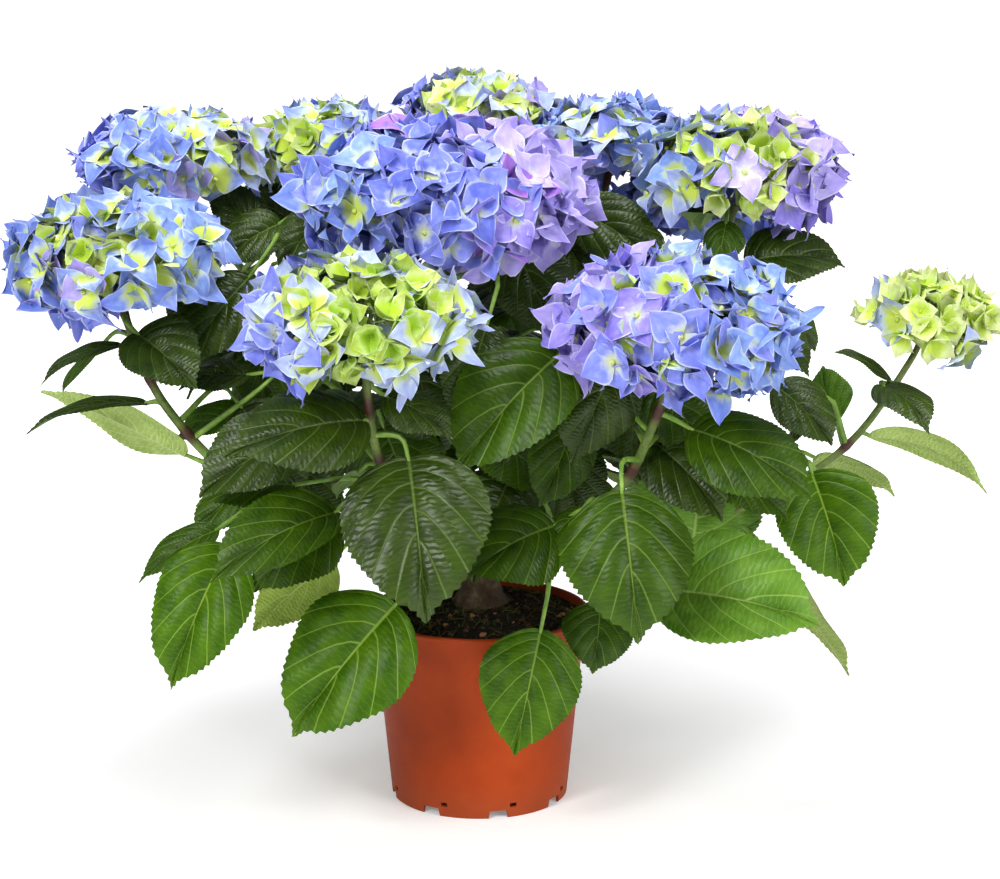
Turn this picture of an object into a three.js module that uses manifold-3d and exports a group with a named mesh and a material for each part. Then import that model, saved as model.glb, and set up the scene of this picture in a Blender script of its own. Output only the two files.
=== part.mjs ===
// A mophead hydrangea in flower, growing in a tapered plastic nursery pot.
// Millimetres, +Z up, origin at the centre of the pot's underside, -Y is the side the plant is seen from.
// The crown is built the way the shrub grows: a short stock in the compost, one shoot to each flower head,
// then the flower heads, the large single leaves round the edge, and the thick leafy masses between them.

import * as THREE from 'three';
import { mergeVertices } from 'three/addons/utils/BufferGeometryUtils.js';
import Module from 'manifold-3d';

const wasm = await Module();
wasm.setup();

// Pot
const POT_HEIGHT = 125;
const RIM_RADIUS = 71.4;
const SHOULDER_RADIUS = 69.6;
const SHOULDER_Z = 112;
const FOOT_RADIUS = 57.6;
const WALL = 1.6;
const FLOOR_Z = 6;
const FLOOR_THICKNESS = 2;
const BOSS_RADIUS = 17;
const NOTCH_COUNT = 8;
const NOTCH_WIDTH = 11;
const NOTCH_HEIGHT = 5;
const NOTCH_START_DEG = -32.5;
const ROUND_STEPS = 36;

// Compost and stock
const SOIL_EDGE_Z = 119;
const SOIL_TOP_Z = 128;
const STOCK_FLAT_RADIUS = 30;
const STOCK_TOP_Z = 172;
const STOCK_FOOT_RADIUS = 17;
const STOCK_RADIUS = 11;

// Clearance kept between neighbouring solids
const GAP = 0.35;

const COLOURS = {
  pot: 0xb4481a,
  soil: 0x2e231a,
  bark: 0x6b5236,
  shoot: 0x5e7a34,
  blue: 0x7f93e6,
  violet: 0x8f82e0,
  lime: 0xbfd86a,
  leaf: 0x3c6a24,
  leafDark: 0x2b4a20,
  leafBright: 0x5c9a2a,
  leafPale: 0x8db25a,
};

// ---------------------------------------------------------------------------------------------------------
// Solid helpers

function toManifold(geometry) {
  const bare = geometry.clone();
  bare.deleteAttribute('normal');
  bare.deleteAttribute('uv');
  const merged = mergeVertices(bare, 1e-4);
  return new wasm.Manifold(new wasm.Mesh({
    numProp: 3,
    vertProperties: Float32Array.from(merged.attributes.position.array),
    triVerts: Uint32Array.from(merged.index.array),
  }));
}

function toGeometry(manifold) {
  const mesh = manifold.getMesh();
  const geometry = new THREE.BufferGeometry();
  geometry.setAttribute('position', new THREE.BufferAttribute(Float32Array.from(mesh.vertProperties), 3));
  geometry.setIndex(new THREE.BufferAttribute(Uint32Array.from(mesh.triVerts), 1));
  geometry.computeVertexNormals();
  return geometry;
}

// The same closed surface moved outwards along its normals.
function grow(geometry, distance) {
  const bare = geometry.clone();
  bare.deleteAttribute('normal');
  bare.deleteAttribute('uv');
  const merged = mergeVertices(bare, 1e-4);
  merged.computeVertexNormals();
  const position = merged.attributes.position;
  const normal = merged.attributes.normal;
  for (let i = 0; i < position.count; i += 1) {
    position.setXYZ(
      i,
      position.getX(i) + normal.getX(i) * distance,
      position.getY(i) + normal.getY(i) * distance,
      position.getZ(i) + normal.getZ(i) * distance,
    );
  }
  return merged;
}

function largestPart(manifold) {
  const parts = manifold.decompose();
  parts.sort((a, b) => b.volume() - a.volume());
  return parts[0];
}

// A repeatable value in -1..1 for each whole-number triple and seed.
function lattice(ix, iy, iz, seed) {
  const value = Math.sin(ix * 127.1 + iy * 311.7 + iz * 74.7 + seed * 53.3) * 43758.5453;
  return (value - Math.floor(value)) * 2 - 1;
}

function unevenness(direction, seed, frequency) {
  const x = direction.x * frequency + seed * 1.7;
  const y = direction.y * frequency - seed * 2.3;
  const z = direction.z * frequency + seed * 0.9;
  const [ix, iy, iz] = [Math.floor(x), Math.floor(y), Math.floor(z)];
  const [fx, fy, fz] = [x - ix, y - iy, z - iz].map((f) => f * f * (3 - 2 * f));
  let sum = 0;
  for (let corner = 0; corner < 8; corner += 1) {
    const [cx, cy, cz] = [corner & 1, (corner >> 1) & 1, (corner >> 2) & 1];
    const share = (cx ? fx : 1 - fx) * (cy ? fy : 1 - fy) * (cz ? fz : 1 - fz);
    sum += share * lattice(ix + cx, iy + cy, iz + cz, seed);
  }
  return sum;
}

const group = new THREE.Group();
group.name = 'potted_hydrangea';
const placed = [];

function addNode(name, manifold, colour, roughness) {
  const geometry = toGeometry(manifold);
  const material = new THREE.MeshStandardMaterial({ color: colour, roughness, metalness: 0 });
  const mesh = new THREE.Mesh(geometry, material);
  mesh.name = name;
  group.add(mesh);
}

// Cuts the new solid back from everything already placed, keeps its largest piece and adds it as a node.
function place(name, geometry, colour, roughness) {
  let body = toManifold(geometry);
  const box = new THREE.Box3().setFromBufferAttribute(geometry.attributes.position).expandByScalar(2);
  for (const other of placed) {
    if (box.intersectsBox(other.box)) {
      body = body.subtract(other.grown);
    }
  }
  body = largestPart(body);
  addNode(name, body, colour, roughness);
  placed.push({ box, grown: toManifold(grow(geometry, GAP)) });
}

// ---------------------------------------------------------------------------------------------------------
// Pot: one moulded wall with a rolled lip, a shallow stacking step, a raised floor and a notched foot

const potProfile = [
  [0, 0],
  [BOSS_RADIUS, 0],
  [BOSS_RADIUS + 1, FLOOR_Z],
  [FOOT_RADIUS - WALL, FLOOR_Z],
  [FOOT_RADIUS - WALL - 0.4, 0],
  [FOOT_RADIUS, 0],
  [SHOULDER_RADIUS, SHOULDER_Z],
  [SHOULDER_RADIUS + 0.8, SHOULDER_Z + 1.5],
  [RIM_RADIUS - 0.8, POT_HEIGHT - 3],
  [RIM_RADIUS, POT_HEIGHT - 2],
  [RIM_RADIUS - 0.4, POT_HEIGHT],
  [RIM_RADIUS - 2.2, POT_HEIGHT],
  [FOOT_RADIUS - WALL + 0.9, FLOOR_Z + FLOOR_THICKNESS],
  [0, FLOOR_Z + FLOOR_THICKNESS],
].map(([r, z]) => new THREE.Vector2(r, z));
const potWall = new THREE.LatheGeometry(potProfile, ROUND_STEPS).rotateX(Math.PI / 2);
let pot = toManifold(potWall);
for (let i = 0; i < NOTCH_COUNT; i += 1) {
  const azimuth = THREE.MathUtils.degToRad(NOTCH_START_DEG + i * (360 / NOTCH_COUNT) - 90);
  const notch = new THREE.BoxGeometry(14, NOTCH_WIDTH, NOTCH_HEIGHT * 2)
    .translate(FOOT_RADIUS, 0, 0)
    .rotateZ(azimuth);
  pot = pot.subtract(toManifold(notch));
}
addNode('pot', pot, COLOURS.pot, 0.45);
// Foliage near the pot is kept clear of the whole space it encloses, not only of its wall.
const potEnvelope = new THREE.LatheGeometry([
  new THREE.Vector2(0, 0),
  new THREE.Vector2(FOOT_RADIUS + GAP, 0),
  new THREE.Vector2(SHOULDER_RADIUS + GAP, SHOULDER_Z),
  new THREE.Vector2(RIM_RADIUS + 0.8, POT_HEIGHT - 3),
  new THREE.Vector2(RIM_RADIUS + 0.8, POT_HEIGHT + GAP),
  new THREE.Vector2(0, POT_HEIGHT + GAP),
], ROUND_STEPS).rotateX(Math.PI / 2);

// Compost: fills the pot and mounds up to a flat patch the stock stands on
const inner = (z) => FOOT_RADIUS - WALL + 0.9
  + (z - FLOOR_Z - FLOOR_THICKNESS) * ((RIM_RADIUS - 2.2 - (FOOT_RADIUS - WALL + 0.9))
  / (POT_HEIGHT - FLOOR_Z - FLOOR_THICKNESS));
const soilFloor = FLOOR_Z + FLOOR_THICKNESS + GAP;
const soil = new THREE.LatheGeometry([
  new THREE.Vector2(0, soilFloor),
  new THREE.Vector2(inner(soilFloor) - 0.6, soilFloor),
  new THREE.Vector2(inner(SOIL_EDGE_Z) - 0.6, SOIL_EDGE_Z),
  new THREE.Vector2(STOCK_FLAT_RADIUS + 14, SOIL_EDGE_Z + 6),
  new THREE.Vector2(STOCK_FLAT_RADIUS, SOIL_TOP_Z),
  new THREE.Vector2(0, SOIL_TOP_Z),
], ROUND_STEPS).rotateX(Math.PI / 2);
addNode('soil', toManifold(soil), COLOURS.soil, 0.95);
const soilMound = new THREE.LatheGeometry([
  new THREE.Vector2(0, SOIL_EDGE_Z - 2),
  new THREE.Vector2(RIM_RADIUS, SOIL_EDGE_Z - 2),
  new THREE.Vector2(RIM_RADIUS, SOIL_EDGE_Z + 1),
  new THREE.Vector2(STOCK_FLAT_RADIUS + 14, SOIL_EDGE_Z + 7),
  new THREE.Vector2(STOCK_FLAT_RADIUS, SOIL_TOP_Z + 0.3),
  new THREE.Vector2(0, SOIL_TOP_Z + 0.3),
], ROUND_STEPS).rotateX(Math.PI / 2);
for (const keepOut of [potEnvelope, soilMound]) {
  placed.push({
    box: new THREE.Box3().setFromBufferAttribute(keepOut.attributes.position).expandByScalar(1),
    grown: toManifold(keepOut),
  });
}

// ---------------------------------------------------------------------------------------------------------
// Woody stock and the shoots that rise from it

// A closed, tapering, round-sided limb through the given points.
function limb(points, startRadius, endRadius, steps, sides) {
  const curve = new THREE.CatmullRomCurve3(points.map((p) => new THREE.Vector3(...p)));
  const frames = curve.computeFrenetFrames(steps, false);
  const vertices = [];
  const indices = [];
  for (let i = 0; i <= steps; i += 1) {
    const centre = curve.getPointAt(i / steps);
    const radius = THREE.MathUtils.lerp(startRadius, endRadius, i / steps);
    for (let j = 0; j < sides; j += 1) {
      const angle = (j / sides) * Math.PI * 2;
      const point = centre.clone()
        .addScaledVector(frames.normals[i], Math.cos(angle) * radius)
        .addScaledVector(frames.binormals[i], Math.sin(angle) * radius);
      vertices.push(point.x, point.y, point.z);
    }
  }
  for (let i = 0; i < steps; i += 1) {
    for (let j = 0; j < sides; j += 1) {
      const a = i * sides + j;
      const b = i * sides + ((j + 1) % sides);
      indices.push(a, b, a + sides, b, b + sides, a + sides);
    }
  }
  for (let j = 1; j < sides - 1; j += 1) {
    indices.push(0, j + 1, j);
    const top = steps * sides;
    indices.push(top, top + j, top + j + 1);
  }
  const geometry = new THREE.BufferGeometry();
  geometry.setAttribute('position', new THREE.Float32BufferAttribute(vertices, 3));
  geometry.setIndex(indices);
  return geometry;
}

const stock = new THREE.LatheGeometry([
  new THREE.Vector2(0, SOIL_TOP_Z + 0.3),
  new THREE.Vector2(STOCK_FOOT_RADIUS, SOIL_TOP_Z + 0.3),
  new THREE.Vector2(STOCK_RADIUS + 1, SOIL_TOP_Z + 14),
  new THREE.Vector2(STOCK_RADIUS, STOCK_TOP_Z - 6),
  new THREE.Vector2(STOCK_RADIUS - 4, STOCK_TOP_Z),
  new THREE.Vector2(0, STOCK_TOP_Z + 2),
], 12).rotateX(Math.PI / 2);
addNode('stock', toManifold(stock), COLOURS.bark, 0.85);
placed.push({
  box: new THREE.Box3().setFromBufferAttribute(stock.attributes.position).expandByScalar(1),
  grown: toManifold(grow(stock, GAP)),
});

// Every shoot leaves the stock at its own height and side, bends outwards and turns up into its flower head.
const shoots = [
  ['shoot_left', [[-5, 0, 152], [-75, -20, 186], [-148, -45, 220], [-195, -60, 274], [-217, -60, 326], [-222, -60, 352]], 4.6, 3.0],
  ['shoot_far_right', [[5, -2, 150], [72, -30, 174], [139, -58, 198], [198, -52, 222], [238, -42, 250], [272, -31, 296], [281, -30, 318]], 4.4, 2.4],
  ['shoot_front_left', [[-2, -4, 158], [-30, -70, 196], [-56, -122, 246], [-64, -150, 290], [-66, -155, 325]], 4.2, 3.0],
  ['shoot_front_right', [[3, -4, 160], [50, -72, 196], [88, -112, 236], [106, -126, 278], [118, -135, 318]], 4.4, 3.2],
  ['shoot_centre', [[-1, -2, 166], [-10, -22, 240], [-20, -34, 300], [-24, -40, 368]], 4.4, 3.2],
  ['shoot_left_back', [[-4, 3, 164], [-62, 22, 226], [-128, 38, 310], [-178, 44, 372], [-192, 45, 400]], 4.2, 2.8],
  ['shoot_mid_left', [[-2, 4, 168], [-36, 30, 240], [-76, 62, 330], [-93, 74, 400]], 4.0, 2.8],
  ['shoot_top', [[0, 4, 168], [4, 46, 250], [2, 92, 340], [-1, 113, 418]], 4.0, 2.8],
  ['shoot_back_right', [[3, 4, 166], [36, 40, 240], [70, 76, 330], [86, 94, 400]], 4.0, 2.8],
  ['shoot_right', [[4, 1, 162], [62, 8, 226], [116, 14, 292], [150, 15, 352], [164, 15, 388]], 4.4, 3.0],
  ['shoot_rear_left', [[-3, 4, 154], [-46, 70, 214], [-82, 130, 286], [-100, 162, 350]], 4.0, 2.8],
  ['shoot_rear', [[0, 5, 152], [12, 84, 208], [22, 152, 280], [24, 190, 352]], 4.0, 2.8],
  ['shoot_rear_right', [[4, 3, 152], [60, 58, 204], [116, 108, 276], [150, 136, 350]], 4.0, 2.8],
];
for (const [name, points, startRadius, endRadius] of shoots) {
  place(name, limb(points, startRadius, endRadius, points.length, 5), COLOURS.shoot, 0.6);
}

// ---------------------------------------------------------------------------------------------------------
// Flower heads: domes of overlapping florets, hollowed a little underneath where the stalks fan out

function flowerHead([x, y, z], halfWidth, halfHeight, detail, seed) {
  const geometry = mergeVertices(stripped(new THREE.IcosahedronGeometry(1, detail)), 1e-5);
  const position = geometry.attributes.position;
  const direction = new THREE.Vector3();
  for (let i = 0; i < position.count; i += 1) {
    direction.fromBufferAttribute(position, i).normalize();
    const bumps = 1 + 0.07 * unevenness(direction, seed, 4.2) + 0.035 * lattice(i, seed, 3, seed);
    const reach = Math.hypot(direction.x, direction.y);
    const outline = Math.pow(reach, 0.86) / Math.max(reach, 1e-6);
    const lift = direction.z > 0 ? direction.z * halfHeight : direction.z * halfHeight * (0.45 + 0.5 * reach);
    position.setXYZ(
      i,
      x + direction.x * outline * halfWidth * bumps,
      y + direction.y * outline * halfWidth * bumps,
      z + lift * bumps,
    );
  }
  return geometry;
}

function stripped(geometry) {
  geometry.deleteAttribute('normal');
  geometry.deleteAttribute('uv');
  return geometry;
}

const heads = [
  ['head_left', [-223, -60, 361], 70, 50, 2, 'blue'],
  ['head_left_back', [-195, 45, 410], 65, 37, 2, 'blue'],
  ['head_mid_left', [-96, 75, 414], 52, 36, 2, 'lime'],
  ['head_top', [-4, 115, 431], 53, 33, 2, 'violet'],
  ['head_centre', [-24, -40, 392], 97, 61, 3, 'violet'],
  ['head_front_left', [-66, -155, 340], 71, 46, 3, 'lime'],
  ['head_front_right', [118, -135, 332], 78, 54, 3, 'violet'],
  ['head_back_right', [85, 95, 413], 60, 35, 2, 'blue'],
  ['head_right', [165, 15, 407], 66, 48, 2, 'violet'],
  ['head_far_right', [283, -30, 325], 45, 34, 2, 'lime'],
  ['head_rear_left', [-102, 165, 366], 62, 38, 2, 'blue'],
  ['head_rear', [24, 194, 368], 66, 38, 2, 'violet'],
  ['head_rear_right', [152, 138, 364], 62, 36, 2, 'blue'],
];
heads.forEach(([name, centre, halfWidth, halfHeight, detail, colour], seed) => {
  place(name, flowerHead(centre, halfWidth, halfHeight, detail, seed + 1), COLOURS[colour], 0.75);
});

// ---------------------------------------------------------------------------------------------------------
// Single large leaves: ovate blades that arch from stalk to pointed tip and fold a little along the midrib

// Half width of the blade, as a share of the widest, at each station from stalk to tip.
const BLADE = [0.16, 0.66, 0.94, 1.0, 0.9, 0.68, 0.36, 0.08];
// Rise of the blade's edges above the midrib, as a share of the half width.
const FOLD = 0.2;

function leafBlade(base, tip, width, facing, arch, thickness) {
  const start = new THREE.Vector3(...base);
  const end = new THREE.Vector3(...tip);
  const along = end.clone().sub(start).normalize();
  const side = new THREE.Vector3().crossVectors(along, new THREE.Vector3(...facing)).normalize();
  const face = new THREE.Vector3().crossVectors(side, along).normalize();
  const vertices = [];
  const indices = [];
  const last = BLADE.length - 1;
  BLADE.forEach((share, i) => {
    const t = i / last;
    const spine = start.clone().lerp(end, t).addScaledVector(face, arch * 4 * t * (1 - t));
    const half = (width / 2) * share;
    const thick = thickness * (0.4 + 0.6 * Math.sin(Math.PI * (0.1 + 0.8 * t)));
    for (const [across, out] of [[-half, half * FOLD], [0, thick / 2], [half, half * FOLD], [0, -thick / 2]]) {
      const point = spine.clone().addScaledVector(side, across).addScaledVector(face, out);
      vertices.push(point.x, point.y, point.z);
    }
  });
  for (let i = 0; i < last; i += 1) {
    for (let j = 0; j < 4; j += 1) {
      const a = i * 4 + j;
      const b = i * 4 + ((j + 1) % 4);
      indices.push(a, b, a + 4, b, b + 4, a + 4);
    }
  }
  const end4 = last * 4;
  indices.push(0, 3, 1, 1, 3, 2, end4, end4 + 1, end4 + 3, end4 + 1, end4 + 2, end4 + 3);
  const geometry = new THREE.BufferGeometry();
  geometry.setAttribute('position', new THREE.Float32BufferAttribute(vertices, 3));
  geometry.setIndex(indices);
  return geometry;
}

const leaves = [
  // name, stalk end, tip, width, way the upper side faces, arch, colour
  ['leaf_pot_front', [39, -92, 138], [22, -104, 60], 64, [0, -1, 0.15], 5, 'leaf'],
  ['leaf_pot_left', [-52, -93, 156], [-117, -112, 74], 86, [-0.1, -0.85, 0.45], 8, 'leaf'],
  ['leaf_pot_right', [77, -66, 148], [71, -84, 106], 46, [0.1, -1, 0.2], 4, 'leafDark'],
  ['leaf_front_left_low', [-41, -156, 264], [-27, -197, 174], 88, [0, -0.9, 0.45], 10, 'leafDark'],
  ['leaf_front_right_low', [86, -154, 244], [93, -182, 156], 80, [0.05, -0.9, 0.4], 8, 'leaf'],
  ['leaf_left_low', [-150, -106, 196], [-187, -130, 112], 68, [-0.1, -0.9, 0.4], 8, 'leafBright'],
  ['leaf_left_curled', [-85, -128, 224], [-160, -166, 190], 48, [-0.1, -0.7, 0.7], 8, 'leaf'],
  ['leaf_under_front_head', [-66, -150, 286], [-146, -186, 268], 60, [0, -0.7, 0.75], 8, 'leafDark'],
  ['leaf_front_middle', [50, -118, 318], [-12, -152, 250], 70, [-0.2, -0.85, 0.5], 8, 'leaf'],
  ['leaf_right_shoulder', [128, -128, 276], [198, -152, 240], 56, [0.1, -0.7, 0.75], 8, 'leafDark'],
  ['leaf_right_low', [116, -108, 174], [207, -132, 157], 76, [0.05, -0.85, 0.5], 9, 'leafBright'],
  ['leaf_right_back_low', [186, -58, 176], [239, -50, 97], 40, [0.7, -0.7, 0.3], 5, 'leafPale'],
  ['leaf_right_hanging', [214, -66, 231], [232, -84, 161], 70, [0, -0.9, 0.35], 7, 'leaf'],
  ['leaf_far_right_arching', [246, -36, 246], [321, -44, 220], 30, [0.1, -0.3, 1], 14, 'leafPale'],
  ['leaf_far_right_dark', [266, -42, 282], [286, -96, 264], 34, [0.1, -0.5, 0.9], 5, 'leafDark'],
  ['leaf_far_left_top', [-224, -66, 312], [-270, -88, 288], 30, [-0.1, -0.4, 0.9], 6, 'leafDark'],
  ['leaf_far_left_long', [-186, -50, 240], [-272, -62, 284], 34, [0.1, -0.5, 0.85], -6, 'leafPale'],
  ['leaf_far_left_edge', [-204, -60, 276], [-278, -92, 266], 26, [0, -0.2, 1], 6, 'leaf'],
];
for (const [name, base, tip, width, facing, arch, colour] of leaves) {
  place(name, leafBlade(base, tip, width, facing, arch, 3.2), COLOURS[colour], 0.5);
}

// ---------------------------------------------------------------------------------------------------------
// Leafy masses: the thick foliage between the shoots, drawn out to the tips of its outer leaves

function leafyMass([x, y, z], [rx, ry, rz], seed, tips) {
  const geometry = mergeVertices(stripped(new THREE.IcosahedronGeometry(1, 2)), 1e-5);
  const position = geometry.attributes.position;
  const direction = new THREE.Vector3();
  for (let i = 0; i < position.count; i += 1) {
    direction.fromBufferAttribute(position, i).normalize();
    const bumps = 1 + 0.2 * unevenness(direction, seed, 2.6) + 0.07 * lattice(i, 1, seed, 5);
    position.setXYZ(
      i,
      x + direction.x * rx * bumps,
      y + direction.y * ry * bumps,
      z + direction.z * rz * bumps,
    );
  }
  const used = new Set();
  for (const [tx, ty, tz] of tips) {
    let nearest = -1;
    let least = Infinity;
    for (let i = 0; i < position.count; i += 1) {
      const distance = Math.hypot(position.getX(i) - tx, position.getY(i) - ty, position.getZ(i) - tz);
      if (distance < least && !used.has(i)) {
        least = distance;
        nearest = i;
      }
    }
    used.add(nearest);
    position.setXYZ(nearest, tx, ty, tz);
  }
  return geometry;
}

const masses = [
  ['foliage_front', [6, -88, 236], [82, 56, 60], 12, 'leaf',
    [[-6, -124, 172], [40, -118, 170], [-62, -128, 204]]],
  ['foliage_front_left', [-104, -84, 244], [58, 44, 46], 13, 'leaf',
    [[-212, -94, 170], [-150, -122, 204]]],
  ['foliage_front_right', [128, -72, 248], [52, 42, 46], 14, 'leaf',
    [[192, -96, 244], [176, -60, 206], [140, -60, 190]]],
  ['foliage_left', [-136, 2, 304], [54, 46, 52], 15, 'leafDark',
    [[-216, -44, 316], [-190, 10, 262], [-152, 18, 374], [-112, 28, 362]]],
  ['foliage_right', [160, 4, 324], [48, 44, 38], 16, 'leafDark',
    [[234, 10, 364], [230, 4, 346], [210, -30, 312]]],
  ['foliage_right_outer', [190, -48, 268], [36, 34, 28], 21, 'leaf',
    [[212, -20, 238], [222, 10, 276]]],
  ['foliage_rear_left', [-96, 104, 262], [70, 56, 54], 17, 'leaf',
    [[-186, 130, 236], [-120, 180, 212], [-176, 84, 300]]],
  ['foliage_rear', [8, 142, 250], [62, 52, 56], 18, 'leafDark',
    [[-20, 216, 206], [50, 210, 196]]],
  ['foliage_rear_right', [110, 92, 256], [66, 54, 54], 19, 'leaf',
    [[190, 120, 226], [140, 168, 204], [196, 70, 262]]],
  ['foliage_low_left', [-72, 32, 190], [54, 62, 30], 22, 'leafPale',
    [[-146, 30, 146], [-100, 96, 140], [-138, -78, 131]]],
  ['foliage_low_right', [76, 34, 188], [54, 62, 28], 23, 'leafBright',
    [[150, 20, 148], [104, 100, 142], [20, 118, 136]]],
  ['foliage_upper', [12, 40, 326], [76, 50, 54], 20, 'leafDark',
    [[104, 24, 374], [116, -8, 350]]],
];
for (const [name, centre, radii, seed, colour, tips] of masses) {
  place(name, leafyMass(centre, radii, seed, tips), COLOURS[colour], 0.6);
}

export default group;
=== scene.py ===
import math

import bmesh
import bpy
import numpy as np
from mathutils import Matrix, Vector, noise
from mathutils.bvhtree import BVHTree


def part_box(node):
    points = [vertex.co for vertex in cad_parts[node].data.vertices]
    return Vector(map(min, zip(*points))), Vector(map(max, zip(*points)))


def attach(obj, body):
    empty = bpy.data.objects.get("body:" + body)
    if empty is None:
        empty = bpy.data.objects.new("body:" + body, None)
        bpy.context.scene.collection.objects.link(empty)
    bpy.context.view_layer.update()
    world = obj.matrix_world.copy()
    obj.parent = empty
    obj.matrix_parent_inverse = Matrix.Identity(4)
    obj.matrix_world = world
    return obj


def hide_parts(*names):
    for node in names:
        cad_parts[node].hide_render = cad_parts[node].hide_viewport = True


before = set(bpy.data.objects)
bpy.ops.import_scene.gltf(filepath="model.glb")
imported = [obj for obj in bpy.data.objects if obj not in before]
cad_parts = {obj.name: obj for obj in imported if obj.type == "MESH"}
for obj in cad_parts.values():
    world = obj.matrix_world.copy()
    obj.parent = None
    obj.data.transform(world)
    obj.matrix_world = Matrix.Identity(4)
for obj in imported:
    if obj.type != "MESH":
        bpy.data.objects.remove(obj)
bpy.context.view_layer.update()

# ---------------------------------------------------------------------------------------------------------
# Camera, lights and floor. A long lens stands a little above the plant, two tall soft boxes light it from
# the front, a wide one hangs overhead, and the floor and the room are plain and nearly white.

LENS_MM = 111.63
SENSOR_MM = 36
LENS_DISTANCE = 2.0
LENS_ELEVATION = math.radians(13.5)
LOOK_AT = Vector((0.0135, 0.0, 0.238))

camera_data = bpy.data.cameras.new("camera")
camera_data.sensor_width = SENSOR_MM
camera_data.lens = LENS_MM
camera_data.clip_end = 50
camera = bpy.data.objects.new("camera", camera_data)
bpy.context.scene.collection.objects.link(camera)
camera.location = LOOK_AT + LENS_DISTANCE * Vector((0, -math.cos(LENS_ELEVATION), math.sin(LENS_ELEVATION)))
camera.rotation_euler = (math.pi / 2 - LENS_ELEVATION, 0, 0)
bpy.context.scene.camera = camera


def add_node(tree, kind, values=None, **settings):
    """Adds a node; a value that is a socket is linked, and any other is set."""
    made = tree.nodes.new(kind)
    for key, value in settings.items():
        setattr(made, key, value)
    for key, value in (values or {}).items():
        if isinstance(value, bpy.types.NodeSocket):
            tree.links.new(value, made.inputs[key])
        else:
            made.inputs[key].default_value = value
    return made


def new_material(name, finish):
    """A material with only its Principled shader, whose plain values are given in finish."""
    material = bpy.data.materials.new(name)
    material.use_nodes = True
    tree = material.node_tree
    shader = tree.nodes["Principled BSDF"]
    for key, value in finish.items():
        shader.inputs[key].default_value = value
    return material, tree, shader


def soft_box(name, place, aim, width, height, watts):
    """A wide soft lamp that stands at a place and shines towards its aim."""
    data = bpy.data.lights.new(name, "AREA")
    data.shape = "RECTANGLE"
    data.size = width
    data.size_y = height
    data.energy = watts
    box = bpy.data.objects.new(name, data)
    bpy.context.scene.collection.objects.link(box)
    box.location = place
    box.rotation_euler = (Vector(aim) - Vector(place)).to_track_quat("-Z", "Y").to_euler()


soft_box("key", (-1.1, -1.7, 1.6), (0, 0, 0.25), 0.8, 1.1, 48)
soft_box("fill", (1.5, -1.5, 0.9), (0, 0, 0.25), 0.9, 1.3, 25)
soft_box("overhead", (0.15, -0.15, 1.8), (0, 0, 0.2), 1.1, 0.9, 28)

ROOM_GLOW = 0.29
room = bpy.data.worlds.new("white_room")
room.use_nodes = True
backdrop = room.node_tree.nodes["Background"]
backdrop.inputs["Color"].default_value = (1, 1, 1, 1)
seen = add_node(room.node_tree, "ShaderNodeLightPath").outputs["Is Camera Ray"]
glow = add_node(room.node_tree, "ShaderNodeMapRange", {"Value": seen, "To Min": ROOM_GLOW, "To Max": 1.0})
room.node_tree.links.new(glow.outputs["Result"], backdrop.inputs["Strength"])
bpy.context.scene.world = room
bpy.context.scene.view_settings.view_transform = "Standard"

FLOOR_REACH = 8
FADE_START = 0.35
FADE_END = 1.3
NEAR_GLOW = 0.22
FAR_GLOW = 0.9
floor_mesh = bpy.data.meshes.new("floor")
floor_corners = [(x * FLOOR_REACH, y * FLOOR_REACH, 0) for x, y in ((-1, -1), (1, -1), (1, 1), (-1, 1))]
floor_mesh.from_pydata(floor_corners, [], [(0, 1, 2, 3)])
floor = bpy.data.objects.new("floor", floor_mesh)
bpy.context.scene.collection.objects.link(floor)
floor_paint, tree, shader = new_material("floor_paint", {
    "Base Color": (0.93, 0.93, 0.93, 1), "Roughness": 0.9, "Specular IOR Level": 0.1,
    "Emission Color": (1, 1, 1, 1)})
from_plant = add_node(tree, "ShaderNodeVectorMath", {
    0: add_node(tree, "ShaderNodeTexCoord").outputs["Object"]}, operation="LENGTH").outputs["Value"]
far_white = add_node(tree, "ShaderNodeMapRange", {
    "Value": from_plant, "From Min": FADE_START, "From Max": FADE_END,
    "To Min": NEAR_GLOW, "To Max": FAR_GLOW}, interpolation_type="SMOOTHSTEP")
seen = add_node(tree, "ShaderNodeLightPath").outputs["Is Camera Ray"]
far_white = add_node(tree, "ShaderNodeMath", {0: far_white.outputs["Result"], 1: seen}, operation="MULTIPLY")
tree.links.new(far_white.outputs[0], shader.inputs["Emission Strength"])
floor_mesh.materials.append(floor_paint)

# ---------------------------------------------------------------------------------------------------------
# Pot: a round nursery pot moulded in thin orange polypropylene, with a rolled lip, a shallow stacking step,
# a raised floor and eight drainage notches cut into the foot. It stands on the foot ring and the centre boss.

_, pot_high = (Vector(corner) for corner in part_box("pot"))
POT_HEIGHT = pot_high.z
RIM_RADIUS = pot_high.x
FOOT_TO_RIM = 0.8067
FOOT_RADIUS = RIM_RADIUS * FOOT_TO_RIM
POT_WALL = 0.0016
LIP_RADIUS = 0.0014
LIP_EDGE_RADIUS = 0.0006
POT_STEP_Z = 0.1005
POT_STEP_OUT = 0.0005
POT_FLOOR_Z = 0.006
POT_FLOOR_TOP = POT_FLOOR_Z + 0.002
POT_TURN_STEPS = 160
NOTCH_COUNT = 8
NOTCH_FLARE = 1.25
NOTCH_START_DEG = -32.5
NOTCH_SIZE = (0.016, 0.0112, 0.0053)
SLOT_SIZE = (0.010, 0.0045, 0.0028)
SLOT_PLACE = (0.0098, 0.0085)


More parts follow.
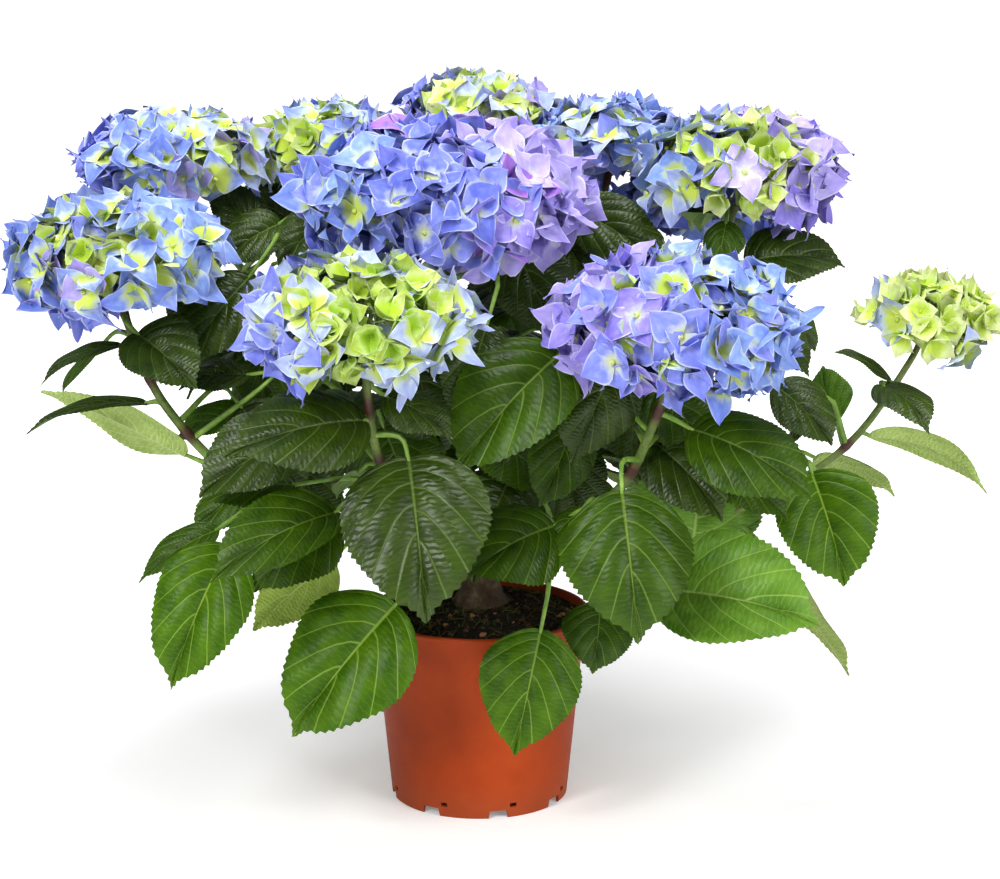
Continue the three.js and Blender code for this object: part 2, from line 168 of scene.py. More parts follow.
def turned(name, profile, steps):
    """A solid of revolution about Z from a closed outline of (radius, height) points."""
    shape = bmesh.new()
    ring = [shape.verts.new((r, 0, z)) for r, z in profile]
    edges = [shape.edges.new((ring[i], ring[(i + 1) % len(ring)])) for i in range(len(ring))]
    bmesh.ops.spin(shape, geom=edges + ring, axis=(0, 0, 1), cent=(0, 0, 0), angle=2 * math.pi, steps=steps)
    bmesh.ops.remove_doubles(shape, verts=shape.verts, dist=1e-6)
    flat = [face for face in shape.faces if face.calc_area() < 1e-12]
    bmesh.ops.delete(shape, geom=flat, context="FACES_ONLY")
    bmesh.ops.recalc_face_normals(shape, faces=shape.faces)
    mesh = bpy.data.meshes.new(name)
    shape.to_mesh(mesh)
    shape.free()
    return mesh


def place(name, mesh, materials, smooth_deg=None):
    """Makes a piece from a mesh, links it and lets it ride with the plant."""
    piece = bpy.data.objects.new(name, mesh)
    bpy.context.scene.collection.objects.link(piece)
    for material in materials:
        mesh.materials.append(material)
    if smooth_deg is not None:
        mesh.shade_smooth()
        mesh.set_sharp_from_angle(angle=math.radians(smooth_deg))
    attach(piece, "root")
    return piece


def cut_away(mesh, cutter_mesh):
    """The first mesh with the second cut out of it."""
    body = bpy.data.objects.new("body", mesh)
    cutter = bpy.data.objects.new("cutter", cutter_mesh)
    for one in (body, cutter):
        bpy.context.scene.collection.objects.link(one)
    cut = body.modifiers.new("cut", "BOOLEAN")
    cut.operation = "DIFFERENCE"
    cut.solver = "EXACT"
    cut.object = cutter
    view = bpy.context.evaluated_depsgraph_get()
    result = bpy.data.meshes.new_from_object(body.evaluated_get(view))
    for one in (body, cutter):
        bpy.data.objects.remove(one)
    return result


def slope_radius(z):
    """The radius of the pot's outside at a height, without its step and lip."""
    return FOOT_RADIUS + (RIM_RADIUS - LIP_RADIUS - FOOT_RADIUS) * z / POT_HEIGHT


def lip_arc(r, z, radius, start_deg, end_deg, count):
    """Points of an arc round (r, z), for a rounded edge in a turned outline."""
    angles = np.radians(np.linspace(start_deg, end_deg, count))
    return [(r + radius * math.cos(a), z + radius * math.sin(a)) for a in angles]


pot_profile = [
    (0, 0),
    (0.0165, 0),
    (0.0172, 0.0008),
    (0.018, POT_FLOOR_Z),
    (FOOT_RADIUS - POT_WALL - 0.0004, POT_FLOOR_Z),
    (FOOT_RADIUS - POT_WALL, 0.0002),
    (FOOT_RADIUS - 0.0006, 0),
    (FOOT_RADIUS, 0.0006),
    *[(slope_radius(z), z) for z in np.linspace(POT_FLOOR_Z, POT_STEP_Z - 0.0006, 8)],
    (slope_radius(POT_STEP_Z) + POT_STEP_OUT, POT_STEP_Z + 0.0006),
    (slope_radius(0.112) + POT_STEP_OUT, 0.112),
    (slope_radius(POT_HEIGHT - 0.0042) + 0.0004, POT_HEIGHT - 0.0042),
    *lip_arc(RIM_RADIUS - LIP_RADIUS, POT_HEIGHT - LIP_RADIUS, LIP_RADIUS, -50, 90, 7),
    *lip_arc(RIM_RADIUS - 0.0018, POT_HEIGHT - LIP_EDGE_RADIUS, LIP_EDGE_RADIUS, 90, 180, 3),
    (slope_radius(POT_STEP_Z) - POT_WALL, POT_STEP_Z),
    (slope_radius(POT_FLOOR_TOP) - POT_WALL, POT_FLOOR_TOP + 0.001),
    (slope_radius(POT_FLOOR_TOP) - POT_WALL - 0.001, POT_FLOOR_TOP),
    (0, POT_FLOOR_TOP),
]
notches = bmesh.new()
for i in range(NOTCH_COUNT):
    turn = math.radians(NOTCH_START_DEG + 360 / NOTCH_COUNT * i - 90)
    for (across, height), size in (((0, 0), NOTCH_SIZE), (SLOT_PLACE, SLOT_SIZE)):
        block = bmesh.ops.create_cube(notches, size=1)["verts"]
        tall = 2 * size[2] if height == 0 else size[2]
        for vert in block:
            flare = NOTCH_FLARE if height == 0 and vert.co.z < 0 else 1.0
            x = FOOT_RADIUS + vert.co.x * size[0]
            y = across + vert.co.y * size[1] * flare
            z = height + vert.co.z * tall
            vert.co = (x * math.cos(turn) - y * math.sin(turn), x * math.sin(turn) + y * math.cos(turn), z)
notch_mesh = bpy.data.meshes.new("notches")
notches.to_mesh(notch_mesh)
notches.free()
pot_mesh = cut_away(turned("pot_shell", pot_profile, POT_TURN_STEPS), notch_mesh)


def new_group(name, inputs, outputs):
    """A node group with sockets of these names, all plain numbers, and its first and last nodes."""
    group = bpy.data.node_groups.new(name, "ShaderNodeTree")
    for way, sockets in (("INPUT", inputs), ("OUTPUT", outputs)):
        for socket in sockets:
            group.interface.new_socket(socket, in_out=way, socket_type="NodeSocketFloat")
    return group, group.nodes.new("NodeGroupInput"), group.nodes.new("NodeGroupOutput")


def mottle_group():
    """Soft blotches and fine grain over a surface, as a colour factor and a height."""
    group, entry, leave = new_group("mottle", ("Blotch Scale", "Grain Scale"), ("Blotch", "Grain"))
    spot = add_node(group, "ShaderNodeTexCoord").outputs["Object"]
    for socket, detail, roughness in (("Blotch", 4.0, 0.6), ("Grain", 3.0, 0.7)):
        scale = entry.outputs[socket + " Scale"]
        cloud = add_node(group, "ShaderNodeTexNoise", {
            "Vector": spot, "Scale": scale, "Detail": detail, "Roughness": roughness})
        group.links.new(cloud.outputs["Fac"], leave.inputs[socket])
    return group


mottle = mottle_group()


def mottled(tree, blotch_scale, grain_scale):
    """Places the mottle group in a material and gives its blotches and its grain."""
    made = add_node(tree, "ShaderNodeGroup", {"Blotch Scale": blotch_scale, "Grain Scale": grain_scale},
                    node_tree=mottle)
    return made.outputs["Blotch"], made.outputs["Grain"]


def ramp(tree, factor, stops):
    """A colour ramp; stops are (place, linear colour)."""
    made = add_node(tree, "ShaderNodeValToRGB", {"Fac": factor})
    strip = made.color_ramp.elements
    while len(strip) < len(stops):
        strip.new(0.5)
    for element, (spot, colour) in zip(strip, stops):
        element.position = spot
        element.color = (*colour, 1)
    return made.outputs["Color"]


def span(tree, value, low, high, to_low=0.0, to_high=1.0, smooth=True):
    """Maps value from low..high to to_low..to_high."""
    made = add_node(tree, "ShaderNodeMapRange", {
        "Value": value, "From Min": low, "From Max": high, "To Min": to_low, "To Max": to_high},
        interpolation_type="SMOOTHSTEP" if smooth else "LINEAR")
    return made.outputs["Result"]


def blend_colours(tree, factor, first, second):
    """Goes from the first colour, a socket, to the second, a linear colour, as the factor rises."""
    second = (*second, 1)
    return add_node(tree, "ShaderNodeMix", {0: factor, 6: first, 7: second}, data_type="RGBA").outputs[2]


def dress(tree, shader, colour, height, strength, distance):
    """Gives a shader its colour, and a fine relief of this strength and depth."""
    tree.links.new(colour, shader.inputs["Base Color"])
    relief = add_node(tree, "ShaderNodeBump", {"Height": height, "Strength": strength, "Distance": distance})
    tree.links.new(relief.outputs["Normal"], shader.inputs["Normal"])


pot_plastic, tree, shader = new_material("orange_plastic", {"Roughness": 0.45, "Specular IOR Level": 0.15})
blotch, grain = mottled(tree, 22.0, 1400.0)
height = add_node(tree, "ShaderNodeSeparateXYZ", {0: add_node(tree, "ShaderNodeTexCoord").outputs["Object"]})
colour = ramp(tree, blotch, [
    (0.3, (0.30, 0.036, 0.004)), (0.55, (0.37, 0.046, 0.005)), (0.8, (0.43, 0.058, 0.007))])
dusty_foot = span(tree, height.outputs["Z"], 0.0, 0.03, 0.16, 0.0)
colour = blend_colours(tree, dusty_foot, colour, (0.30, 0.12, 0.06))
tree.links.new(span(tree, grain, 0.3, 0.7, 0.40, 0.52), shader.inputs["Roughness"])
dress(tree, shader, colour, grain, 0.12, 0.0004)

pot = place("nursery_pot", pot_mesh, [pot_plastic], smooth_deg=35)
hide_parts("pot")

# ---------------------------------------------------------------------------------------------------------
# Compost: dark peat that fills the pot to just under its lip and mounds up to the stems, with loose crumbs,
# strands of fibre and tufts of moss lying on it.

MOUND_EDGE_Z = 0.1195
MOUND_RISE = 0.009
MOUND_FLAT_RADIUS = 0.030
MOUND_RINGS = 30
MOUND_TURN_STEPS = 110
CRUMB_COUNT = 620
STRAND_COUNT = 190
TUFT_COUNT = 420
mound_edge_radius = slope_radius(MOUND_EDGE_Z) - POT_WALL - 0.0004


def mound_height(x, y):
    """The height of the lumpy compost at a place, rising from the pot's wall to the stems."""
    reach = math.hypot(x, y)
    slope = min(1, max(0, (mound_edge_radius - reach) / (mound_edge_radius - MOUND_FLAT_RADIUS)))
    lumps = noise.noise(Vector((x, y, 0)) * 60) * 0.0016 + noise.noise(Vector((x, y, 3)) * 210) * 0.0009
    return MOUND_EDGE_Z + MOUND_RISE * slope * slope * (3 - 2 * slope) + lumps * min(1, slope * 6 + 0.2)


mound_foot_z = POT_FLOOR_TOP + 0.0005
mound_profile = [(0, mound_foot_z), (slope_radius(POT_FLOOR_TOP) - POT_WALL - 0.002, mound_foot_z)]
mound_profile += [(mound_edge_radius * k / MOUND_RINGS, MOUND_EDGE_Z) for k in range(MOUND_RINGS, -1, -1)]
mound_mesh = turned("mound", mound_profile, MOUND_TURN_STEPS)
for vert in mound_mesh.vertices:
    if vert.co.z > MOUND_EDGE_Z - 0.001:
        vert.co.z = mound_height(vert.co.x, vert.co.y)


def mottled_material(name, finish, scales, stops, relief):
    """A whole material of one mottled colour with a fine grain, which is all that the plainer pieces need."""
    material, tree, shader = new_material(name, dict(zip(("Roughness", "Specular IOR Level"), finish)))
    blotch, grain = mottled(tree, *scales)
    dress(tree, shader, ramp(tree, blotch, stops), grain, *relief)
    return material


peat = mottled_material("peat", (0.95, 0.2), (160.0, 900.0), [
    (0.3, (0.006, 0.0045, 0.003)), (0.6, (0.02, 0.013, 0.008)), (0.8, (0.05, 0.033, 0.02))], (0.9, 0.002))
mound = place("compost", mound_mesh, [peat], smooth_deg=50)
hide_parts("soil")


class Gathered:
    """Many small meshes of four-sided faces, gathered up to be made into one piece."""

    def __init__(self):
        self.verts, self.faces, self.maps, self.slots = [], [], [], []
        self.count = 0

    def add(self, verts, faces, face_map=None, slot=0):
        """Takes on one small mesh; face_map holds the map values of each corner, slot a material number."""
        self.verts.append(verts)
        self.faces.append(faces + self.count)
        self.count += len(verts)
        self.maps.append(np.zeros((len(faces), 4, 2)) if face_map is None else face_map)
        self.slots.append(np.broadcast_to(slot, len(faces)))

    def mesh(self, name, map_names=(), tiles_across=1):
        """Makes the mesh. Its corner maps get these names, and the first is packed by material for baking."""
        verts = np.concatenate(self.verts)
        faces = np.concatenate(self.faces)
        slots = np.concatenate(self.slots)
        mesh = bpy.data.meshes.new(name)
        mesh.vertices.add(len(verts))
        mesh.vertices.foreach_set("co", verts.astype(np.float32).ravel())
        mesh.loops.add(faces.size)
        mesh.loops.foreach_set("vertex_index", faces.astype(np.int32).ravel())
        mesh.polygons.add(len(faces))
        mesh.polygons.foreach_set("loop_start", np.arange(0, faces.size, 4, dtype=np.int32))
        mesh.polygons.foreach_set("material_index", slots.astype(np.int32))
        mesh.update(calc_edges=True)
        if map_names:
            corners = np.concatenate(self.maps)
            layers = {label: corners[..., 2 * k:2 * k + 2] for k, label in enumerate(map_names)}
            tile = np.stack([slots % tiles_across, slots // tiles_across], axis=-1)[:, None, :]
            layers["OFBake"] = (tile + 0.03 + 0.94 * corners[..., :2]) / tiles_across
            for label, values in layers.items():
                layer = mesh.uv_layers.new(name=label)
                layer.data.foreach_set("uv", values.astype(np.float32).ravel())
        return mesh


def grid_faces(rows, columns, closed=False):
    """Faces of a grid of vertices numbered row by row; a closed grid joins its last column to its first."""
    r, c = np.meshgrid(np.arange(rows - 1), np.arange(columns if closed else columns - 1), indexing="ij")
    after = (c + 1) % columns
    corners = [r * columns + c, r * columns + after, (r + 1) * columns + after, (r + 1) * columns + c]
    return np.stack(corners, axis=-1).reshape(-1, 4)


def unit(vectors):
    """The vectors made one long."""
    return vectors / np.maximum(np.linalg.norm(vectors, axis=-1, keepdims=True), 1e-9)


def smooth_path(points, count):
    """Evenly spaced points on a smooth curve through the given ones."""
    points = np.asarray(points, float)
    padded = np.vstack([2 * points[0] - points[1], points, 2 * points[-1] - points[-2]])
    fine = []
    for i in range(len(points) - 1):
        a, b, c, d = padded[i:i + 4]
        t = np.linspace(0, 1, 24, endpoint=False)[:, None]
        fine.append(0.5 * (2 * b + (c - a) * t + (2 * a - 5 * b + 4 * c - d) * t ** 2
                           + (3 * b - a - 3 * c + d) * t ** 3))
    fine = np.vstack([*fine, points[-1:]])
    run = np.concatenate([[0], np.cumsum(np.linalg.norm(np.diff(fine, axis=0), axis=1))])
    where = np.linspace(0, run[-1], count)
    return np.stack([np.interp(where, run, fine[:, k]) for k in range(3)], axis=1)


def tube(path, radii, sides):
    """A tube round a path, closed to a point at both ends."""
    path = np.asarray(path, float)
    radii = np.broadcast_to(radii, len(path))
    ahead = unit(np.gradient(path, axis=0))
    path = np.vstack([path[:1] - ahead[:1] * radii[0] * 0.5, path, path[-1:] + ahead[-1:] * radii[-1] * 0.5])
    ahead = np.vstack([ahead[:1], ahead, ahead[-1:]])
    radii = np.concatenate([[radii[0] * 0.02], radii, [radii[-1] * 0.02]])
    across = np.cross(ahead[0], (0.31, 0.17, -0.93))
    sideways = []
    for step in ahead:
        across = across - step * np.dot(across, step)
        across = across / np.linalg.norm(across)
        sideways.append(across)
    sideways = np.array(sideways)
    upward = np.cross(ahead, sideways)
    turn = np.linspace(0, 2 * math.pi, sides, endpoint=False)
    ring = (np.cos(turn)[None, :, None] * sideways[:, None] + np.sin(turn)[None, :, None] * upward[:, None])
    verts = (path[:, None] + ring * radii[:, None, None]).reshape(-1, 3)
    return verts, grid_faces(len(path), sides, closed=True)


soil_chance = np.random.default_rng(11)


def spot_on_mound(clear_of_stock=0.020):
    """A random place on the compost between the stems and the pot's wall."""
    reach = math.sqrt(soil_chance.uniform(clear_of_stock ** 2, (mound_edge_radius - 0.002) ** 2))
    turn = soil_chance.uniform(0, 2 * math.pi)
    x, y = reach * math.cos(turn), reach * math.sin(turn)
    return np.array([x, y, mound_height(x, y)])


def ball(ring_count, side_count, pole_angle):
    """The points of a unit ball, ring by ring, with a small opening at each pole."""
    rings = np.linspace(pole_angle, math.pi - pole_angle, ring_count)
    turns = np.linspace(0, 2 * math.pi, side_count, endpoint=False)
    return np.stack([
        np.outer(np.sin(rings), np.cos(turns)), np.outer(np.sin(rings), np.sin(turns)),
        np.repeat(-np.cos(rings)[:, None], side_count, axis=1)], axis=-1).reshape(-1, 3)


crumbs = Gathered()
for _ in range(CRUMB_COUNT):
    size = soil_chance.uniform(0.0008, 0.0026)
    crumb = ball(5, 7, 0.15)
    crumb *= size * soil_chance.uniform(0.65, 1.3, (len(crumb), 1)) * np.array([1, 0.9, 0.7])
    kind = soil_chance.choice(3, p=[0.72, 0.22, 0.06])
    crumbs.add(crumb + spot_on_mound(), grid_faces(5, 7, closed=True), slot=kind)
for _ in range(STRAND_COUNT):
    start = spot_on_mound()
    heading = soil_chance.uniform(0, 2 * math.pi)
    run = soil_chance.uniform(0.006, 0.020)
    bend = soil_chance.uniform(-0.5, 0.5, 3) * run
    end = start + run * np.array([math.cos(heading), math.sin(heading), 0])
    reach = np.hypot(*end[:2])
    if reach > mound_edge_radius - 0.002 or reach < 0.019:
        continue
    middle = (start + end) / 2 + bend * 0.5
    strand = smooth_path([start, middle, end], 7)
    for point in strand:
        point[2] = mound_height(point[0], point[1]) + soil_chance.uniform(0.0004, 0.0022)
    crumbs.add(*tube(strand, 0.00035, 4), slot=soil_chance.choice([1, 3]))
for _ in range(TUFT_COUNT):
    foot = spot_on_mound()
    if noise.noise(Vector(foot) * 45) < 0.05:
        continue
    lean = unit(np.array([*soil_chance.normal(0, 0.6, 2), 1.0])) * soil_chance.uniform(0.0015, 0.004)
    crumbs.add(*tube([foot, foot + lean * 0.5, foot + lean], [0.0006, 0.0005, 0.0002], 4), slot=3)

LITTER_COLOURS = {
    "dark_crumb": ((0.008, 0.006, 0.004), (0.028, 0.018, 0.011)),
    "brown_bark_chip": ((0.05, 0.025, 0.012), (0.12, 0.06, 0.028)),
    "dry_petal": ((0.30, 0.14, 0.06), (0.42, 0.22, 0.10)),
    "moss": ((0.030, 0.045, 0.006), (0.085, 0.11, 0.02)),
}
litter = [
    mottled_material(name, (0.9, 0.25), (300.0, 1500.0), [(0.35, dark), (0.65, light)], (0.6, 0.001))
    for name, (dark, light) in LITTER_COLOURS.items()]
crumb_piece = place("compost_crumbs", crumbs.mesh("crumbs"), litter)

# ---------------------------------------------------------------------------------------------------------
# Stock: the short woody base that all the shoots spring from, flared at its foot in the compost and covered
# in thin, flaking, grey-brown bark with upright ridges.

stock_low, stock_high = (np.array(corner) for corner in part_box("stock"))
STOCK_SIDES = 72
STOCK_RINGS = 60
STOCK_RADIUS = 0.011
FLARE = 0.0075
ROUNDED_FROM = 0.88


def bark_relief(x, y, z):
    """How far the bark stands out at a place: upright ridges, and flakes lying across them."""
    ridge = noise.noise(Vector((x * 420, y * 420, z * 70)))
    flake = noise.noise(Vector((x * 150, y * 150, z * 160 + 7)))
    return 0.0011 * ridge + 0.0008 * abs(flake)


stock_verts = []
for k in range(STOCK_RINGS):
    up = k / (STOCK_RINGS - 1)
    z = stock_low[2] + 0.001 + (stock_high[2] - stock_low[2] - 0.001) * up
    swell = FLARE * math.exp(-up * 5) - 0.0015 * up
    crown = math.sqrt(max(0.0, 1 - max(0.0, (up - ROUNDED_FROM) / (1 - ROUNDED_FROM)) ** 2))
    for turn in np.linspace(0, 2 * math.pi, STOCK_SIDES, endpoint=False):
        lobes = 0.0012 * math.sin(3 * turn + 1) * math.exp(-up * 2)
        radius = STOCK_RADIUS + swell + lobes
        x, y = radius * math.cos(turn), radius * math.sin(turn)
        radius = max(0.0002, (radius + bark_relief(x, y, z)) * crown)
        stock_verts.append((radius * math.cos(turn), radius * math.sin(turn), z))
stock_shape = Gathered()
stock_shape.add(np.array(stock_verts), grid_faces(STOCK_RINGS, STOCK_SIDES, closed=True))

bark = mottled_material("flaking_bark", (0.85, 0.3), (130.0, 900.0), [
    (0.3, (0.030, 0.018, 0.010)), (0.55, (0.085, 0.055, 0.032)), (0.75, (0.17, 0.125, 0.08))], (0.7, 0.001))
stock = place("stock_bark", stock_shape.mesh("stock_bark"), [bark], smooth_deg=60)
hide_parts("stock")

# ---------------------------------------------------------------------------------------------------------
# Shoots: thirteen smooth green canes, each as thick as a pencil and tapering to the flower head it carries.
# A swollen reddish joint marks each pair of leaves. Places are in millimetres along the middle of each cane.

MM = 0.001
JOINT_SPACING = 0.043
JOINT_SWELL = 0.24
JOINT_WIDTH = 0.0032
RIPE_WIDTH = 0.0065
WOODY_REACH = 0.09
# How far the upper half of a cane is darkened, as painted shade under its flower head.
UPPER_SHADE = 0.45
CANE_SLIMNESS = 0.82
CANE_STEP = 0.0028
CANE_SIDES = 14
# Each shoot's places, and its radius at its start and at its end.
SHOOTS = {
    "shoot_left": ([(-5, 0, 152), (-75, -20, 186), (-148, -45, 220), (-195, -60, 274), (-217, -60, 326),
                    (-222, -60, 352)], 4.6, 3.0),
    "shoot_far_right": ([(5, -2, 150), (72, -30, 174), (139, -58, 198), (198, -52, 222), (238, -42, 250),
                         (272, -31, 296), (281, -30, 318)], 4.4, 2.4),
    "shoot_front_left": ([(-2, -4, 158), (-30, -70, 196), (-56, -122, 246), (-64, -150, 290),
                          (-66, -155, 325)], 4.2, 3.0),
    "shoot_front_right": ([(3, -4, 160), (50, -72, 196), (88, -112, 236), (106, -126, 278),
                           (118, -135, 318)], 4.4, 3.2),
    "shoot_centre": ([(-1, -2, 166), (-10, -22, 240), (-20, -34, 300), (-24, -40, 368)], 4.4, 3.2),
    "shoot_left_back": ([(-4, 3, 164), (-62, 22, 226), (-128, 38, 310), (-178, 44, 372), (-192, 45, 400)],
                        4.2, 2.8),
    "shoot_mid_left": ([(-2, 4, 168), (-36, 30, 240), (-76, 62, 330), (-93, 74, 400)], 4.0, 2.8),
    "shoot_top": ([(0, 4, 168), (4, 46, 250), (2, 92, 340), (-1, 113, 418)], 4.0, 2.8),
    "shoot_back_right": ([(3, 4, 166), (36, 40, 240), (70, 76, 330), (86, 94, 400)], 4.0, 2.8),
    "shoot_right": ([(4, 1, 162), (62, 8, 226), (116, 14, 292), (150, 15, 352), (164, 15, 388)], 4.4, 3.0),
    "shoot_rear_left": ([(-3, 4, 154), (-46, 70, 214), (-82, 130, 286), (-100, 162, 350)], 4.0, 2.8),
    "shoot_rear": ([(0, 5, 152), (12, 84, 208), (22, 152, 280), (24, 190, 352)], 4.0, 2.8),
    "shoot_rear_right": ([(4, 3, 152), (60, 58, 204), (116, 108, 276), (150, 136, 350)], 4.0, 2.8),
}


def cane_material():
    """Green rind that turns reddish brown where a vertex value rises: at the joints, at the woody foot, and
    towards the top as painted shade under the flower head; freckled all along.
    """
    material, tree, shader = new_material("green_cane", {"Roughness": 0.5, "Specular IOR Level": 0.4})
    ripe_and_shade = add_node(tree, "ShaderNodeAttribute", attribute_name="ripe_and_shade").outputs["Fac"]
    blotch, grain = mottled(tree, 90.0, 700.0)
    green = ramp(tree, blotch, [(0.35, (0.075, 0.16, 0.018)), (0.65, (0.20, 0.30, 0.055))])
    freckles = span(tree, grain, 0.56, 0.68, 0.0, 0.7)
    rind = blend_colours(tree, freckles, green, (0.085, 0.035, 0.018))
    # Reddish brown at the joints and the woody foot, and as painted shade high on the cane.
    rind = blend_colours(tree, ripe_and_shade, rind, (0.052, 0.015, 0.008))
    dress(tree, shader, rind, grain, 0.35, 0.0006)
    return material


cane = cane_material()
shoot_paths = {}
for name, (points, start_radius, end_radius) in SHOOTS.items():
    rough_length = sum(math.dist(a, b) for a, b in zip(points, points[1:])) * MM
    count = int(rough_length / CANE_STEP)
    path = smooth_path(np.array(points) * MM, count)
    run = np.linspace(0, rough_length, count)
    to_joint = np.abs((run / JOINT_SPACING + 0.5) % 1 - 0.5) * JOINT_SPACING
    joint = np.exp(-(to_joint / JOINT_WIDTH) ** 2)
    radii = (start_radius + (end_radius - start_radius) * run / rough_length) * CANE_SLIMNESS * MM
    shape = Gathered()
    shape.add(*tube(path, radii * (1 + JOINT_SWELL * joint), CANE_SIDES))
    mesh = shape.mesh(name)
    ripe_and_shade = mesh.attributes.new("ripe_and_shade", "FLOAT", "POINT")
    woody = np.clip(1 - run / WOODY_REACH, 0, 1)
    # Painted shade: the upper half of each cane darkens towards the flower head over it.
    upper_shade = UPPER_SHADE * np.clip(run / rough_length * 2 - 1, 0, 1)
    ripeness_and_shade = np.clip(np.exp(-(to_joint / RIPE_WIDTH) ** 2) + woody + upper_shade, 0, 1)
    ripeness_and_shade = np.concatenate([ripeness_and_shade[:1], ripeness_and_shade, ripeness_and_shade[-1:]])
    ripe_and_shade.data.foreach_set("value", np.repeat(ripeness_and_shade, CANE_SIDES).astype(np.float32))
    piece = place(name.replace("shoot", "cane"), mesh, [cane], smooth_deg=60)
    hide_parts(name)
    shoot_paths[name] = path

# ---------------------------------------------------------------------------------------------------------
# Leaves: broad, toothed, long-pointed blades in opposite pairs, each on a short stalk. The side veins sweep
# up to the edge and the skin between them is quilted and glossy, with a paler, duller underside.

EDGE_ROWS = 49
VEIN_PAIRS = 7
HALF_COLUMNS = [0.035, 0.20, 0.42, 0.64, 0.84, 1.0]
BLADE_THICKNESS = 0.00045
VEIN_SWEEP = 1.6
TEETH_REACH = 0.034
TEETH_RAKE = 0.009
USUAL_BENDS = (0.26, 0.36, 0, 0)
BEND_SPREADS = (0.08, 0.12, 0.05, 0.16)
QUILT_HEIGHT = 0.0013
GROOVE_DEPTH = 0.0007
GROOVE_WIDTH = 0.0022
RIB_DEPTH = 0.0009
RIB_WIDTH = 0.0018
TIP_PINCH = 0.50
TIP_PINCH_AT = 0.93
TIP_DROOP = 0.10

leaf_across = np.array([-c for c in reversed(HALF_COLUMNS)] + [0.0] + HALF_COLUMNS)
leaf_columns = len(leaf_across)
edge_place = np.linspace(0, 1, EDGE_ROWS)
vein_place = 1 - (1 - edge_place) ** 0.625
rib_place = vein_place ** 1.9
half_width = (edge_place + 0.006) ** 0.60 * (1.003 - edge_place) ** 1.02
half_width *= (1 - TIP_PINCH * np.exp(-((edge_place - TIP_PINCH_AT) / 0.07) ** 2)) / half_width.max()

top_grid = np.arange(EDGE_ROWS * leaf_columns).reshape(EDGE_ROWS, leaf_columns)
under_grid = top_grid.copy()
under_grid[1:-1, 1:-1] = top_grid.size + np.arange((EDGE_ROWS - 2) * (leaf_columns - 2)).reshape(
    EDGE_ROWS - 2, leaf_columns - 2)
flat_faces = grid_faces(EDGE_ROWS, leaf_columns)
other_way = [0, 3, 2, 1]
leaf_faces = np.concatenate([top_grid.ravel()[flat_faces], under_grid.ravel()[flat_faces][:, other_way]])
plan_across = 0.5 + 0.49 * leaf_across[None, :] * np.minimum(half_width, 1)[:, None]
vein_rise = (edge_place - rib_place)[:, None] * np.abs(leaf_across)[None, :] ** VEIN_SWEEP
plan_along = rib_place[:, None] + vein_rise
leaf_map = np.stack([plan_across, plan_along, *np.meshgrid((leaf_across + 1) / 2, vein_place)], axis=-1)
leaf_map = leaf_map.reshape(-1, 4)[flat_faces]
leaf_corner_map = np.concatenate([leaf_map, leaf_map[:, other_way]])
leaf_side = np.repeat([0, 1], len(flat_faces))

leaf_chance = np.random.default_rng(27)


def leaf_mesh(base, tip, width, facing, arch):
    """Vertices of one blade from its stalk to its tip, with teeth, sunken veins, fold, droop and waves."""
    length = np.linalg.norm(tip - base)
    ahead = (tip - base) / length
    normal = unit(facing - ahead * np.dot(facing, ahead))
    side = np.cross(ahead, normal)
    across = np.abs(leaf_across)[None, :]
    sign = np.sign(leaf_across)[None, :]

    teeth = (np.arange(EDGE_ROWS) % 2) * np.clip(edge_place * 9 - 0.6, 0, 1)
    teeth = teeth * np.clip((1 - edge_place) * 14, 0, 1) * leaf_chance.uniform(0.7, 1.3, EDGE_ROWS)
    teeth = teeth[:, None]
    x = leaf_across[None, :] * (half_width[:, None] + TEETH_REACH * teeth * across ** 5) * width / 2
    y = plan_along + TEETH_RAKE * teeth * across ** 5

    fold, curl, sweep, twist = leaf_chance.normal(USUAL_BENDS, BEND_SPREADS)
    phase, tempo = leaf_chance.uniform(0, 6.28, 2), leaf_chance.uniform(1.2, 2.2)
    waves = np.sin(2 * math.pi * tempo * y + np.where(sign > 0, phase[0], phase[1]))
    between = (vein_place[:, None] * VEIN_PAIRS + 0.25 * (sign > 0)) % 1
    quilt = np.sin(math.pi * between) ** 0.7 * np.sqrt(across * (1 - across ** 4))
    z = np.abs(x) * fold - x * x / (width / 2) * curl + width * 0.028 * waves * across ** 2
    z = z + QUILT_HEIGHT * quilt * min(1, width / 0.06) - GROOVE_DEPTH * np.exp(-(x / GROOVE_WIDTH) ** 2)

    rise = arch * 4 * y * (1 - y) + TIP_DROOP * length * (y - y ** 3)
    slope = arch * 4 * (1 - 2 * y) + TIP_DROOP * length * (1 - 3 * y ** 2)
    spine = base + ahead * (length * y)[..., None] + normal * rise[..., None]
    tilt = twist * (y - 0.3)
    leaf_normal = unit(normal * length - ahead * slope[..., None])
    turned_side = side * np.cos(tilt)[..., None] + leaf_normal * np.sin(tilt)[..., None]
    turned_normal = leaf_normal * np.cos(tilt)[..., None] - side * np.sin(tilt)[..., None]
    top = spine + turned_side * (x + sweep * width * y * y)[..., None] + turned_normal * z[..., None]
    rib_depth = RIB_DEPTH * np.exp(-(x / RIB_WIDTH) ** 2) * (1.1 - y)
    under = top - turned_normal * (BLADE_THICKNESS + rib_depth)[..., None]
    return np.concatenate([top.reshape(-1, 3), under[1:-1, 1:-1].reshape(-1, 3)])


def sums_in(group):
    """A short way to place Math nodes in a group: sums("ADD", first, second)."""
    def sums(way, *values, clamp=False):
        return add_node(group, "ShaderNodeMath", dict(enumerate(values)), operation=way,
                        use_clamp=clamp).outputs[0]
    return sums


